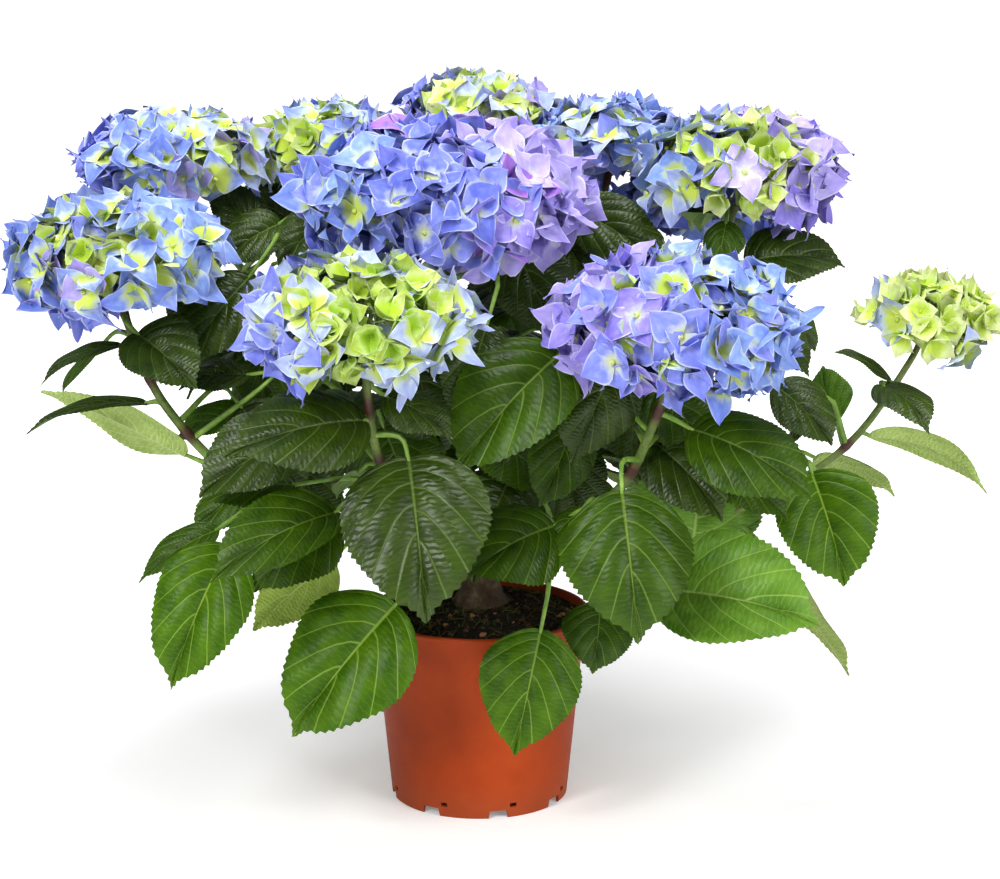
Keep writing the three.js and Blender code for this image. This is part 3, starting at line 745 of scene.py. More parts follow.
def vein_group():
    """Marks of a leaf from its own maps: the ribs, the fine net between them, quilted relief and patches."""
    group, entry, leave = new_group(
        "leaf_veins", ("Rib Width", "Rungs"), ("Ribs", "Net", "Relief", "Patches"))
    sums = sums_in(group)

    by_vein = add_node(group, "ShaderNodeUVMap", uv_map="leaf_uv").outputs["UV"]
    by_vein = add_node(group, "ShaderNodeSeparateXYZ", {0: by_vein})
    signed = sums("MULTIPLY_ADD", by_vein.outputs["X"], 2.0, -1.0)
    other_side = sums("MULTIPLY", sums("GREATER_THAN", signed, 0.0), 0.25)
    count = sums("MULTIPLY_ADD", by_vein.outputs["Y"], float(VEIN_PAIRS), other_side)
    from_vein = sums("ABSOLUTE", sums("SUBTRACT", sums("FRACT", sums("ADD", count, 0.5)), 0.5))
    vein_width = sums("MULTIPLY_ADD", sums("ABSOLUTE", signed), -0.050, 0.090)
    side_veins = sums("SUBTRACT", 1.0, sums("DIVIDE", from_vein, vein_width), clamp=True)

    plan = add_node(group, "ShaderNodeUVMap", uv_map="leaf_plan").outputs["UV"]
    split = add_node(group, "ShaderNodeSeparateXYZ", {0: plan})
    from_middle = sums("ABSOLUTE", sums("SUBTRACT", split.outputs["X"], 0.5))
    rib_width = sums("MULTIPLY", entry.outputs["Rib Width"], sums("SUBTRACT", 1.15, split.outputs["Y"]))
    middle = sums("SUBTRACT", 1.25, sums("DIVIDE", from_middle, rib_width), clamp=True)
    ribs = sums("MAXIMUM", middle, sums("MULTIPLY", side_veins, 0.8))

    patches = add_node(group, "ShaderNodeTexNoise", {"Vector": plan, "Scale": 5.0, "Detail": 3.0})
    wander = add_node(group, "ShaderNodeTexNoise", {"Vector": plan, "Scale": 12.0, "Detail": 1.0})
    rungs = sums("MULTIPLY", split.outputs["Y"], entry.outputs["Rungs"])
    rungs = sums("ADD", rungs, sums("MULTIPLY", wander.outputs["Fac"], 1.3))
    rungs = sums("ADD", rungs, sums("MULTIPLY", sums("FLOOR", sums("ADD", count, 0.5)), 0.37))
    from_rung = sums("ABSOLUTE", sums("SUBTRACT", sums("FRACT", rungs), 0.5))
    net = sums("SUBTRACT", 1.0, sums("MULTIPLY", from_rung, 7.0), clamp=True)
    pillow = sums("MULTIPLY", sums("POWER", sums("MULTIPLY", from_rung, 2.0), 0.9),
                  sums("POWER", sums("MULTIPLY", from_vein, 2.0), 0.6))
    relief = sums("SUBTRACT", pillow, sums("MULTIPLY", ribs, 0.8))
    for socket, value in zip(leave.inputs, (ribs, net, relief, patches.outputs["Fac"])):
        group.links.new(value, socket)
    return group


leaf_veins = vein_group()


def leaf_material(name, dark, light, vein, finish, vein_strength, relief_strength):
    """One side of a leaf in one shade, given as linear colours."""
    material, tree, shader = new_material(name, finish)
    marks = add_node(tree, "ShaderNodeGroup", {"Rib Width": 0.014, "Rungs": 27.0},
                     node_tree=leaf_veins).outputs
    netted = span(tree, marks["Net"], 0, 1, 0, 0.35)
    ribbed = span(tree, marks["Ribs"], 0, 1, 0, vein_strength)
    blade = ramp(tree, marks["Patches"], [(0.35, dark), (0.65, light)])
    blade = blend_colours(tree, netted, blade, tuple(c * 1.5 for c in light))
    blade = blend_colours(tree, ribbed, blade, vein)
    dress(tree, shader, blade, marks["Relief"], relief_strength, 0.0010)
    return material


GLOSS = {"Roughness": 0.33, "Specular IOR Level": 0.26}
SHEEN = {"Roughness": 0.36, "Specular IOR Level": 0.18}
SATIN = {"Roughness": 0.40, "Specular IOR Level": 0.15}
DULL = {"Roughness": 0.7, "Specular IOR Level": 0.3}
LEAF_SHADES = {
    "dark": [
        leaf_material("leaf_deep_top", (0.014, 0.029, 0.001), (0.028, 0.055, 0.002), (0.16, 0.25, 0.05),
                      GLOSS, 0.42, 0.42),
        leaf_material("leaf_deep_under", (0.10, 0.16, 0.045), (0.14, 0.22, 0.065), (0.26, 0.36, 0.13),
                      DULL, 0.7, 0.5),
    ],
    "mid": [
        leaf_material("leaf_green_top", (0.017, 0.044, 0.0005), (0.035, 0.080, 0.001), (0.20, 0.32, 0.04),
                      SHEEN, 0.5, 0.3),
        leaf_material("leaf_green_under", (0.13, 0.22, 0.05), (0.18, 0.29, 0.07), (0.32, 0.44, 0.15),
                      DULL, 0.7, 0.5),
    ],
    "bright": [
        leaf_material("leaf_fresh_top", (0.025, 0.072, 0.0005), (0.056, 0.132, 0.001), (0.26, 0.40, 0.05),
                      SATIN, 0.6, 0.24),
        leaf_material("leaf_fresh_under", (0.21, 0.31, 0.04), (0.28, 0.39, 0.06), (0.44, 0.55, 0.18),
                      DULL, 0.85, 0.6),
    ],
    # The pale top is a lighter green than the leaf's own, painted as sheen and as light shining through the
    # leaf.
    "pale": [
        leaf_material("leaf_pale_lit_top", (0.062, 0.155, 0.010), (0.118, 0.245, 0.022), (0.34, 0.46, 0.11),
                      SHEEN, 0.6, 0.35),
        leaf_material("leaf_pale_under", (0.25, 0.35, 0.08), (0.34, 0.45, 0.12), (0.52, 0.62, 0.28),
                      DULL, 0.85, 0.6),
    ],
}

# The leaves that show from the front, first the outer ones and then those that fill in behind them. A row
# is (stalk end, tip, width, facing, arch, shade), in millimetres.
OUTER_LEAVES = [
    ((-41, -154, 264), (-27, -197, 174), 88, (0, -0.9, 0.45), 10, "dark"),
    ((86, -154, 244), (93, -182, 156), 80, (0.05, -0.9, 0.4), 8, "mid"),
    ((39, -92, 138), (22, -104, 60), 64, (0, -1, 0.15), 5, "bright"),
    ((-51, -93, 155), (-116, -112, 74), 80, (-0.1, -0.85, 0.45), 8, "bright"),
    ((-153, -106, 196), (-190, -130, 112), 60, (-0.1, -0.9, 0.4), 8, "bright"),
    ((-85, -128, 224), (-160, -166, 190), 50, (-0.1, -0.7, 0.7), 8, "mid"),
    ((-113, -90, 231), (-174, -105, 223), 34, (0, -0.4, 0.9), 5, "mid"),
    ((-162, -80, 200), (-210, -95, 168), 26, (-0.2, -0.6, 0.7), 5, "mid"),
    ((-92, -70, 177), (-139, -80, 131), 46, (0.3, 0.7, 0.5), 5, "bright"),
    ((-66, -150, 286), (-146, -186, 268), 62, (0, -0.7, 0.75), 8, "dark"),
    ((-55, -150, 301), (-13, -165, 279), 34, (0.2, -0.6, 0.8), 3, "dark"),
    ((6, -112, 337), (-15, -134, 280), 44, (0.1, -0.9, 0.3), 5, "dark"),
    ((50, -118, 320), (-13, -152, 252), 70, (-0.2, -0.85, 0.5), 8, "mid"),
    ((48, -122, 214), (-6, -137, 183), 64, (0, -0.6, 0.8), 6, "mid"),
    ((60, -90, 275), (38, -98, 218), 42, (0.2, -0.9, 0.4), 5, "mid"),
    # Painted sheen: this leaf is given the pale shade.
    ((114, -106, 168), (207, -134, 148), 80, (0.05, -0.72, 0.68), 9, "pale"),
    ((186, -58, 174), (239, -50, 95), 40, (0.6, 0.5, 0.6), -3, "pale"),
    # Painted sheen: the next two leaves are given a lighter shade than their own.
    ((208, -66, 233), (229, -84, 164), 64, (0, -0.82, 0.5), 7, "bright"),
    ((128, -130, 276), (200, -160, 238), 60, (0.05, -0.66, 0.75), 8, "mid"),
    ((182, -90, 294), (214, -100, 256), 40, (0.3, -0.7, 0.6), 5, "dark"),
    ((169, 0, 354), (234, 8, 352), 48, (0.1, -0.6, 0.8), 6, "dark"),
    ((190, -60, 334), (209, -60, 308), 24, (0.3, -0.7, 0.6), 3, "dark"),
    ((261, -34, 283), (222, -40, 304), 18, (-0.1, -0.3, 1), 4, "dark"),
    ((254, -42, 283), (277, -96, 265), 34, (0.1, -0.5, 0.9), 5, "dark"),
    ((247, -34, 249), (322, -44, 213), 24, (0.15, 0.8, 0.6), 12, "pale"),
    ((215, -20, 231), (267, -10, 202), 34, (0.3, 0.7, 0.6), 6, "pale"),
    ((229, -14, 252), (222, 14, 284), 34, (-0.7, -0.5, 0.4), 3, "pale"),
    ((-220, -64, 314), (-270, -84, 292), 18, (-0.1, -0.3, 1), 6, "dark"),
    ((-236, -44, 309), (-264, -34, 274), 12, (-0.4, -0.5, 0.7), 3, "mid"),
    ((-206, -60, 276), (-278, -92, 264), 20, (0, -0.2, 1), 6, "dark"),
    ((-184, -50, 240), (-272, -62, 284), 44, (0.1, 0.7, 0.75), -1, "pale"),
    ((-210, -74, 323), (-173, -98, 292), 48, (0.1, -0.8, 0.6), 6, "dark"),
    ((-142, -40, 353), (-182, -70, 300), 50, (-0.1, -0.85, 0.5), 6, "dark"),
    ((-143, -50, 292), (-188, -52, 282), 28, (0, -0.5, 0.85), 4, "dark"),
    ((-150, -20, 262), (-194, -22, 240), 28, (-0.1, -0.5, 0.8), 4, "bright"),
    ((-124, 58, 372), (-156, 56, 392), 34, (-0.2, -0.8, 0.5), 3, "dark"),
    # Painted light shining through the leaf: this leaf is given the pale shade.
    ((134, -62, 180), (142, -48, 250), 84, (0.1, -0.95, 0.2), 4, "pale"),
    ((77, -66, 148), (71, -84, 106), 46, (0.1, -1, 0.2), 4, "mid"),
    ((83, -112, 316), (58, -122, 252), 52, (0, -0.95, 0.2), 4, "dark"),
    ((104, -96, 262), (150, -120, 216), 54, (0.2, -0.7, 0.6), 6, "dark"),
    ((-110, -100, 262), (-168, -128, 232), 56, (-0.1, -0.7, 0.7), 7, "dark"),
    ((-90, -96, 214), (-136, -118, 168), 54, (-0.2, -0.8, 0.5), 6, "mid"),
    ((20, -70, 232), (-6, -100, 172), 60, (-0.1, -0.9, 0.3), 6, "dark"),
    ((142, -84, 250), (190, -104, 212), 50, (0.2, -0.7, 0.6), 6, "mid"),
    ((20, -8, 372), (50, -30, 310), 52, (0, -0.95, 0.2), 4, "dark"),
    ((58, 18, 388), (122, -6, 348), 44, (0, -0.85, 0.5), 5, "dark"),
    ((112, -88, 300), (140, -92, 246), 48, (0, -0.9, 0.4), 4, "mid"),
    ((180, -8, 324), (208, -26, 284), 36, (0.2, -0.8, 0.5), 4, "dark"),
    ((-144, 20, 372), (-173, 28, 402), 30, (-0.2, -0.8, 0.5), 3, "dark"),
    ((-98, 2, 382), (-128, -6, 350), 36, (-0.1, -0.85, 0.4), 3, "dark"),
    ((-184, -28, 350), (-160, -34, 306), 44, (0, -0.9, 0.3), 4, "dark"),
    ((-150, -40, 270), (-112, -60, 212), 54, (-0.1, -0.9, 0.3), 4, "dark"),
    ((-60, -60, 262), (-34, -72, 206), 56, (0, -0.95, 0.2), 4, "mid"),
    ((-40, -50, 300), (-22, -64, 240), 56, (0, -0.95, 0.2), 4, "dark"),
    ((-120, -32, 242), (-92, -48, 190), 52, (-0.1, -0.9, 0.4), 4, "dark"),
    ((-28, -34, 264), (-12, -46, 208), 52, (0, -0.95, 0.3), 4, "mid"),
    ((46, -42, 246), (68, -56, 192), 52, (0.1, -0.9, 0.4), 4, "dark"),
    ((86, -32, 284), (112, -48, 230), 52, (0.1, -0.9, 0.4), 4, "dark"),
    ((-138, -48, 224), (-180, -66, 192), 36, (0, -0.7, 0.7), 4, "mid"),
    ((-126, 10, 378), (-166, 0, 352), 36, (-0.1, -0.8, 0.6), 4, "dark"),
    ((50, 12, 374), (76, 0, 334), 42, (0, -0.95, 0.3), 4, "dark"),
]

POT_KEEP_OUT = (RIM_RADIUS + 0.003, POT_HEIGHT + 0.001)
LEAF_STALK_REACH = (0.018, 0.036)
LEAF_PLUMPNESS = (0.70, 0.86)
LEAF_DROOP = (0.15, 1.15)
LEAF_STRAYS = 0.010
LOW_LEAVES_Z = 0.21
BRIGHT_FROM = 0.85
MID_FROM = 0.36
TRIES_FOR_A_LEAF = 10
head_names = sorted(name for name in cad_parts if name.startswith("head_"))
leaf_nodes = sorted(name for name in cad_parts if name.startswith(("leaf_", "foliage_")))
head_boxes = {name: [np.array(corner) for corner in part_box(name)] for name in head_names}

crown_verts, crown_faces = [], []
for name in head_names + leaf_nodes:
    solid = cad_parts[name].data
    first = len(crown_verts)
    crown_verts += [vert.co.copy() for vert in solid.vertices]
    crown_faces += [[first + k for k in face.vertices] for face in solid.polygons]
crown = BVHTree.FromPolygons(crown_verts, crown_faces)


def beyond_crown(point):
    """How far a point stands outside the crown's solids, less than nothing if it is inside."""
    near, normal, _, gap = crown.find_nearest(Vector(point))
    return gap if (Vector(point) - near).dot(normal) > 0 else -gap


def in_a_head(point, share=0.9):
    """Whether a point is inside this share of any flower head."""
    for low, high in head_boxes.values():
        if np.linalg.norm((point - (low + high) / 2) / ((high - low) / 2)) < share:
            return True
    return False


def in_the_pot(point):
    """Whether a point is inside the pot, or too near its wall."""
    return np.hypot(point[0], point[1]) < POT_KEEP_OUT[0] and point[2] < POT_KEEP_OUT[1]


leaf_pieces = {shade: Gathered() for shade in LEAF_SHADES}
stalk_piece = Gathered()
grown = []


def stalk_to(base, toward, root, radius=0.0015):
    """The leaf's own stalk, from the cane to the blade, bending to run on into the midrib."""
    reach = np.linalg.norm(base - root)
    ahead = unit(toward - base)
    path = smooth_path([root, base - ahead * reach * 0.38 + (root - base) * 0.15, base + ahead * 0.002], 9)
    stalk_piece.add(*tube(path, np.linspace(radius * 1.35, radius * 0.8, 9), 6))


def keep_leaf(verts, base, tip, facing, shade):
    """Adds a blade to the piece of its shade, and remembers its place for the leaves to come."""
    leaf_pieces[shade].add(verts, leaf_faces, leaf_corner_map, leaf_side)
    grown.append(((base + tip) / 2, unit(facing), np.linalg.norm(tip - base)))


all_canes = np.vstack([path[12:] for path in shoot_paths.values()])
for base, tip, width, facing, arch, shade in OUTER_LEAVES:
    base, tip, facing = np.array(base) * MM, np.array(tip) * MM, np.array(facing, float)
    keep_leaf(leaf_mesh(base, tip, width * MM, facing, arch * MM), base, tip, facing, shade)
    lower = all_canes[all_canes[:, 2] < max(base[2] + 0.012, 0.19)]
    root = lower[np.argmin(np.linalg.norm(lower - (base - unit(tip - base) * 0.02), axis=1))]
    stalk_to(base, tip, root)
outer_count = len(grown)


def crowded(centre, facing, length):
    """Whether a leaf would lie on another one, or cover one of the outer leaves."""
    for number, (other, other_facing, other_length) in enumerate(grown):
        apart = centre - other
        lift = np.dot(apart, other_facing)
        beside = np.linalg.norm(apart - other_facing * lift)
        if number < outer_count and -0.01 < lift < 0.09 and beside < 0.58 * (length + other_length) / 2:
            return True
        if np.linalg.norm(apart) < 0.15 * (length + other_length):
            return True
    return False


def try_leaf(root, along, around, length, droop):
    """Grows one stalked leaf from a cane if there is room for it, and says whether it did."""
    out = unit(around * np.array([1, 1, 0.3]))
    stalk = unit(out + along * 0.55) * leaf_chance.uniform(*LEAF_STALK_REACH)
    base = root + stalk
    ahead = unit(out * math.cos(droop) + np.array([0, 0, -1]) * math.sin(droop))
    tip = base + ahead * length
    facing = unit(out * math.sin(droop) + np.array([0, 0, 1]) * math.cos(droop))
    width = length * leaf_chance.uniform(*LEAF_PLUMPNESS)
    if crowded((base + tip) / 2, facing, length):
        return False
    verts = leaf_mesh(base, tip, width, facing, length * 0.09)
    for point in verts[::53]:
        if beyond_crown(point) > LEAF_STRAYS or in_the_pot(point) or in_a_head(point):
            return False
    light = (base[2] < LOW_LEAVES_Z) * 0.45 + leaf_chance.uniform(0, 0.65)
    shade = "bright" if light > BRIGHT_FROM else "mid" if light > MID_FROM else "dark"
    keep_leaf(verts, base, tip, facing, shade)
    stalk_to(base, tip, root)
    return True


def grow_pair(root, along, turn, length):
    """A pair of opposite leaves at one joint of a cane or twig."""
    first = unit(np.cross(along, (0.2, 0.1, 1.0) if abs(along[2]) < 0.9 else (1.0, 0.2, 0.0)))
    second = np.cross(along, first)
    for half in (0, math.pi):
        for attempt in range(TRIES_FOR_A_LEAF):
            angle = turn + half + leaf_chance.normal(0, 0.15 + 0.12 * attempt)
            around = first * math.cos(angle) + second * math.sin(angle)
            size = length * leaf_chance.uniform(0.85, 1.1) * (1 - 0.07 * attempt)
            if try_leaf(root, along, around, size, leaf_chance.uniform(*LEAF_DROOP)):
                break


for name, path in shoot_paths.items():
    steps = np.linalg.norm(np.diff(path, axis=0), axis=1)
    run = np.concatenate([[0], np.cumsum(steps)])
    turn = leaf_chance.uniform(0, math.pi)
    for distance in np.arange(JOINT_SPACING, run[-1] - 0.012, JOINT_SPACING):
        k = int(np.searchsorted(run, distance))
        along = unit(path[min(k + 3, len(path) - 1)] - path[k - 3])
        turn += math.pi / 2
        share = distance / run[-1]
        grow_pair(path[k], along, turn, 0.102 - 0.038 * share)
        if share < 0.75:
            heading = turn + math.pi / 2 + leaf_chance.uniform(-0.4, 0.4)
            level = unit(np.cross(along, (0.0, 0.0, 1.0)) + 1e-6)
            out = level * math.cos(heading) + np.cross(along, level) * math.sin(heading)
            twig_end = path[k] + unit(out + along * 0.9) * leaf_chance.uniform(0.035, 0.06)
            if beyond_crown(twig_end) < -0.004 and not in_the_pot(twig_end) and not in_a_head(twig_end, 1.0):
                twig = smooth_path([path[k], (path[k] + twig_end) / 2 + along * 0.006, twig_end], 10)
                stalk_piece.add(*tube(twig, np.linspace(0.0024, 0.0016, 10), 8))
                twig_along = unit(twig[-1] - twig[-3])
                grow_pair(twig[-1], twig_along, turn, 0.078 - 0.02 * share)

for shade, gathered in leaf_pieces.items():
    mesh = gathered.mesh("leaves_" + shade, map_names=["leaf_plan", "leaf_uv"], tiles_across=2)
    piece = place("leaves_" + shade, mesh, LEAF_SHADES[shade], smooth_deg=100)
    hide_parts(*leaf_nodes)

green_stalk = mottled_material("green_stalk", (0.5, 0.4), (120.0, 900.0), [
    (0.35, (0.10, 0.22, 0.02)), (0.65, (0.24, 0.38, 0.06))], (0.3, 0.0005))
stalks = place("leaf_stalks_and_twigs", stalk_piece.mesh("stalks"), [green_stalk], smooth_deg=60)

# ---------------------------------------------------------------------------------------------------------
# Flower heads: domed heads of big four-sepalled florets on fine branching stalks. Young florets are small
# and lime; as they open they turn blue or violet from the tips inwards, and keep a yellow-green eye.

SEPAL_ROWS = 8
SEPAL_COLUMNS = 7
BEAD_RADIUS = 0.085
BEAD_LIFT = 0.07
sepal_along = np.linspace(0, 1, SEPAL_ROWS) ** 0.92
sepal_across = np.linspace(-1, 1, SEPAL_COLUMNS)
sepal_half = (sepal_along + 0.012) ** 0.75 * (1.004 - sepal_along) ** 1.3
sepal_half = np.maximum(sepal_half / sepal_half.max(), 0.22 * (1 - sepal_along * 3))
flower_chance = np.random.default_rng(5)


def floret_template(lift, curl, crease, frill, breadth):
    """One floret of unit reach, flat side up: four sepals and the bead in the middle."""
    parts = []
    for number in range(4):
        wobble = flower_chance.normal(0, 1, 8)
        reach = 1 + 0.07 * wobble[0]
        rise = lift + 0.16 * wobble[1]
        bend = curl + 0.22 * wobble[2]
        x = sepal_half[:, None] * sepal_across[None, :] * (breadth + 0.05 + 0.035 * wobble[3])
        y = np.repeat(sepal_along[:, None], SEPAL_COLUMNS, axis=1) * reach
        creased = np.abs(x) * 2.0 * (1.25 - y) * np.minimum(1, sepal_along * 3)[:, None]
        z = rise * y + bend * y * y + crease * creased
        ripple = np.sin(y * (6 + 1.5 * wobble[4]) + wobble[5] * 3 + np.sign(x) * 1.2)
        z = z + frill * ripple * sepal_across[None, :] ** 2 * (0.35 + y) - 0.25 * bend * x * x
        z = z + 0.012 * (number % 2)
        y = y / np.sqrt(1 + (rise + bend * y) ** 2 * 0.8)
        x = x + 0.06 * wobble[6] * y * y
        turn = number * math.pi / 2 + 0.06 * wobble[7]
        across = x * math.cos(turn) - y * math.sin(turn)
        onward = x * math.sin(turn) + y * math.cos(turn)
        parts.append(np.stack([across, onward, z], axis=-1).reshape(-1, 3))
    parts.append(BEAD_RADIUS * ball(4, 6, 0.2) + np.array([0, 0, BEAD_LIFT]))
    return np.concatenate(parts)


sepal_faces = grid_faces(SEPAL_ROWS, SEPAL_COLUMNS)
bead_faces = grid_faces(4, 6, closed=True)
sepal_size = SEPAL_ROWS * SEPAL_COLUMNS
floret_faces = [sepal_faces + k * sepal_size for k in range(4)]
floret_faces = np.concatenate([*floret_faces, bead_faces + 4 * sepal_size])
sepal_map = np.stack(np.meshgrid((sepal_across + 1) / 2, sepal_along), axis=-1).reshape(-1, 2)
floret_map = np.concatenate([*[sepal_map[sepal_faces]] * 4, np.full((len(bead_faces), 4, 2), (0.5, 0.02))])

# Each floret's lift, curl, crease, frill and breadth, for a reach of one.
OPEN_FLORETS = [floret_template(*values) for values in (
    (0.15, 0.10, 0.10, 0.05, 0.43), (0.40, -0.30, 0.16, 0.06, 0.38), (0.55, -0.55, 0.12, 0.05, 0.40),
    (0.05, 0.30, 0.18, 0.06, 0.42), (0.10, -0.20, 0.10, 0.07, 0.44), (0.60, -0.20, 0.20, 0.05, 0.37),
    (0.35, 0.10, 0.10, 0.08, 0.43), (0.25, -0.45, 0.14, 0.06, 0.41), (0.45, -0.25, 0.22, 0.06, 0.36),
    (0.00, 0.05, 0.16, 0.07, 0.45), (0.70, -0.60, 0.15, 0.05, 0.39), (0.20, 0.35, 0.12, 0.06, 0.40))]
YOUNG_FLORETS = [floret_template(*values) for values in (
    (0.65, 0.10, 0.20, 0.05, 0.50), (0.85, -0.15, 0.15, 0.06, 0.47), (0.50, 0.30, 0.25, 0.07, 0.49),
    (0.95, 0.10, 0.22, 0.04, 0.52))]


def petal_group():
    """Marks of a sepal from its own map: the eye, spreading to Reach, the rim for a painted highlight, the
    fold for painted shade, veins and flush.
    """
    group, entry, leave = new_group(
        "petal_marks", ("Reach",), ("Eye", "Rim Highlight", "Fold Shade", "Along", "Lines", "Flush"))
    sums = sums_in(group)

    place_on_petal = add_node(group, "ShaderNodeUVMap", uv_map="petal_uv").outputs["UV"]
    split = add_node(group, "ShaderNodeSeparateXYZ", {0: place_on_petal})
    across = sums("ABSOLUTE", sums("MULTIPLY_ADD", split.outputs["X"], 2.0, -1.0))
    along = split.outputs["Y"]
    soft = add_node(group, "ShaderNodeTexNoise", {"Vector": place_on_petal, "Scale": 4.0, "Detail": 2.0})
    edge = sums("ADD", entry.outputs["Reach"], sums("MULTIPLY_ADD", soft.outputs["Fac"], 0.3, -0.15))
    edge = sums("SUBTRACT", edge, sums("MULTIPLY", across, 0.12))
    eye = sums("MULTIPLY_ADD", sums("SUBTRACT", edge, along), 2.4, 0.5, clamp=True)
    # Painted highlight: a band along the sepal's edges, where the curled rim catches the light.
    rim = sums("MULTIPLY_ADD", across, 5.5, -4.5, clamp=True)
    # Painted shade: darkest along the sepal's middle crease and towards its base, where the fold lies in
    # shadow.
    fold = sums("MULTIPLY", sums("POWER", sums("SUBTRACT", 1.0, across), 3.0), sums("SUBTRACT", 1.15, along))
    fan = add_node(group, "ShaderNodeCombineXYZ", {
        "X": sums("MULTIPLY", split.outputs["X"], 34.0), "Y": sums("MULTIPLY", along, 3.0)})
    lines = add_node(group, "ShaderNodeTexNoise", {"Vector": fan.outputs[0], "Scale": 1.0, "Detail": 2.0})
    values = (eye, rim, fold, along, lines.outputs["Fac"], soft.outputs["Fac"])
    for socket, value in zip(leave.inputs, values):
        group.links.new(value, socket)
    return group


petal_marks = petal_group()


def linear(red, green, blue):
    """A colour given on the usual 0 to 255 scale, as the linear values that shaders take."""
    return tuple(((c / 255 + 0.055) / 1.055) ** 2.4 for c in (red, green, blue))


LIME_EYE = linear(192, 210, 84)
PALE_EYE = linear(204, 214, 138)
# Each tint is the eye's colour, the sepal's colour, the flush that clouds it, and how far the eye spreads.
TINTS = {
    "periwinkle": (PALE_EYE, linear(118, 132, 220), linear(144, 152, 230), 0.24),
    "violet": (PALE_EYE, linear(136, 124, 214), linear(158, 146, 228), 0.18),
    "lilac": (PALE_EYE, linear(166, 154, 226), linear(184, 174, 232), 0.18),
    "sky": (LIME_EYE, linear(118, 148, 218), linear(146, 172, 226), 0.36),
    "cornflower": (LIME_EYE, linear(104, 130, 212), linear(130, 154, 224), 0.40),
    "deep_blue": (PALE_EYE, linear(90, 104, 200), linear(114, 128, 214), 0.26),
    "magenta": (PALE_EYE, linear(164, 108, 202), linear(150, 128, 218), 0.12),
    "blue_lime": (LIME_EYE, linear(120, 144, 212), linear(156, 178, 212), 0.56),
    "pale_blue": (LIME_EYE, linear(158, 176, 220), linear(184, 200, 214), 0.50),
    "lime_tipped": (linear(184, 208, 66), linear(140, 164, 204), linear(170, 192, 168), 0.72),
    "lime": (linear(172, 200, 50), linear(182, 206, 92), linear(196, 214, 122), 0.66),
    "pale_lime": (linear(196, 218, 84), linear(206, 222, 138), linear(218, 230, 168), 0.62),
    "young_lime": (linear(150, 188, 34), linear(172, 202, 60), linear(190, 212, 98), 0.56),
}


def petal_material(name, eye, body, flush, reach):
    """A sepal of one tint, deeper in its veins and tip, with painted shade in its fold, its eye, and a pale
    rim that is a painted highlight.
    """
    material, tree, shader = new_material("sepal_" + name, {
        "Roughness": 0.62, "Specular IOR Level": 0.3, "Sheen Weight": 0.15})
    marks = add_node(tree, "ShaderNodeGroup", {"Reach": reach}, node_tree=petal_marks).outputs
    veined = span(tree, marks["Lines"], 0.40, 0.70, 0.28, 0.0)
    tipped = span(tree, marks["Along"], 0.45, 1.0, 0, 0.6)
    # Painted shade in the sepal's fold.
    fold_shade = span(tree, marks["Fold Shade"], 0.1, 1.0, 0, 0.4, smooth=False)
    haloed = span(tree, marks["Eye"], 0.0, 0.5, 0, 0.4)
    eyed = span(tree, marks["Eye"], 0.15, 0.95)
    # Painted highlight along the sepal's rim.
    rim_highlight = span(tree, marks["Rim Highlight"], 0, 1, 0, 0.75)
    deep = (body[0] * 0.72, body[1] * 0.62, body[2] * 0.88)
    pale = tuple(0.45 * c + 0.55 * d for c, d in zip(body, linear(235, 240, 232)))
    colour = ramp(tree, marks["Flush"], [(0.38, body), (0.66, flush)])
    for factor, other in (
            (veined, tuple(c * 0.62 for c in body)), (tipped, deep), (fold_shade, tuple(c * 0.6 for c in body)),
            (haloed, pale), (eyed, eye), (rim_highlight, pale)):
        colour = blend_colours(tree, factor, colour, other)
    dress(tree, shader, colour, marks["Lines"], 0.25, 0.0006)
    return material


tint_names = list(TINTS)
tint_materials = [petal_material(name, *values) for name, values in TINTS.items()]

# For each head: the tints round its middle, then those round its rim, both listed from its left to its right.
HEAD_MIXES = {
    "head_left": ("cornflower blue_lime lime cornflower lime blue_lime",
                  "cornflower lilac periwinkle cornflower blue_lime sky"),
    "head_left_back": ("periwinkle cornflower pale_blue blue_lime lime",
                       "periwinkle cornflower blue_lime lilac pale_blue"),
    "head_mid_left": ("lime_tipped lime blue_lime lime lime_tipped",
                      "lime_tipped cornflower pale_blue periwinkle blue_lime"),
    "head_top": ("lime pale_lime lime pale_lime pale_blue", "periwinkle pale_blue lilac pale_lime lilac"),
    "head_centre": ("sky periwinkle deep_blue periwinkle violet lilac",
                    "deep_blue cornflower periwinkle periwinkle lilac magenta lilac lilac"),
    "head_front_left": ("pale_blue lime young_lime lime young_lime lime",
                        "periwinkle pale_blue lime_tipped pale_blue lime_tipped pale_blue"),
    "head_front_right": ("violet periwinkle lime_tipped periwinkle sky",
                         "lilac violet periwinkle deep_blue cornflower sky"),
    "head_back_right": ("sky pale_blue blue_lime sky", "sky pale_blue periwinkle sky pale_blue"),
    "head_right": ("pale_blue lime pale_lime lime lilac",
                   "sky pale_blue periwinkle pale_lime lilac violet"),
    "head_far_right": ("pale_lime lime pale_lime pale_lime",
                       "pale_blue pale_lime pale_lime pale_lime pale_blue pale_lime"),
    "head_rear_left": ("cornflower lime blue_lime", "cornflower periwinkle sky"),
    "head_rear": ("violet periwinkle blue_lime", "violet periwinkle lilac deep_blue"),
    "head_rear_right": ("cornflower lime_tipped sky", "periwinkle cornflower deep_blue"),
}
FLORET_SPACING = 0.0172
HEAD_SAG = 0.003
DEEPER_SAG = {"head_far_right": 0.006, "head_right": 0.005, "head_left": 0.004}
HEAD_POKE = 1.13
HEAD_POKE_BELOW = 1.33
HEAD_FALL = 1.52
YOUNG_REACH = (0.0110, 0.0160)
OPEN_REACH = (0.0175, 0.0255)
FLORET_TILT = 0.33
FLORETS_PER_BRANCH = 8
UNDER_LAYER_SHARE = 0.22
UNDER_LAYER_DEPTH = 0.22
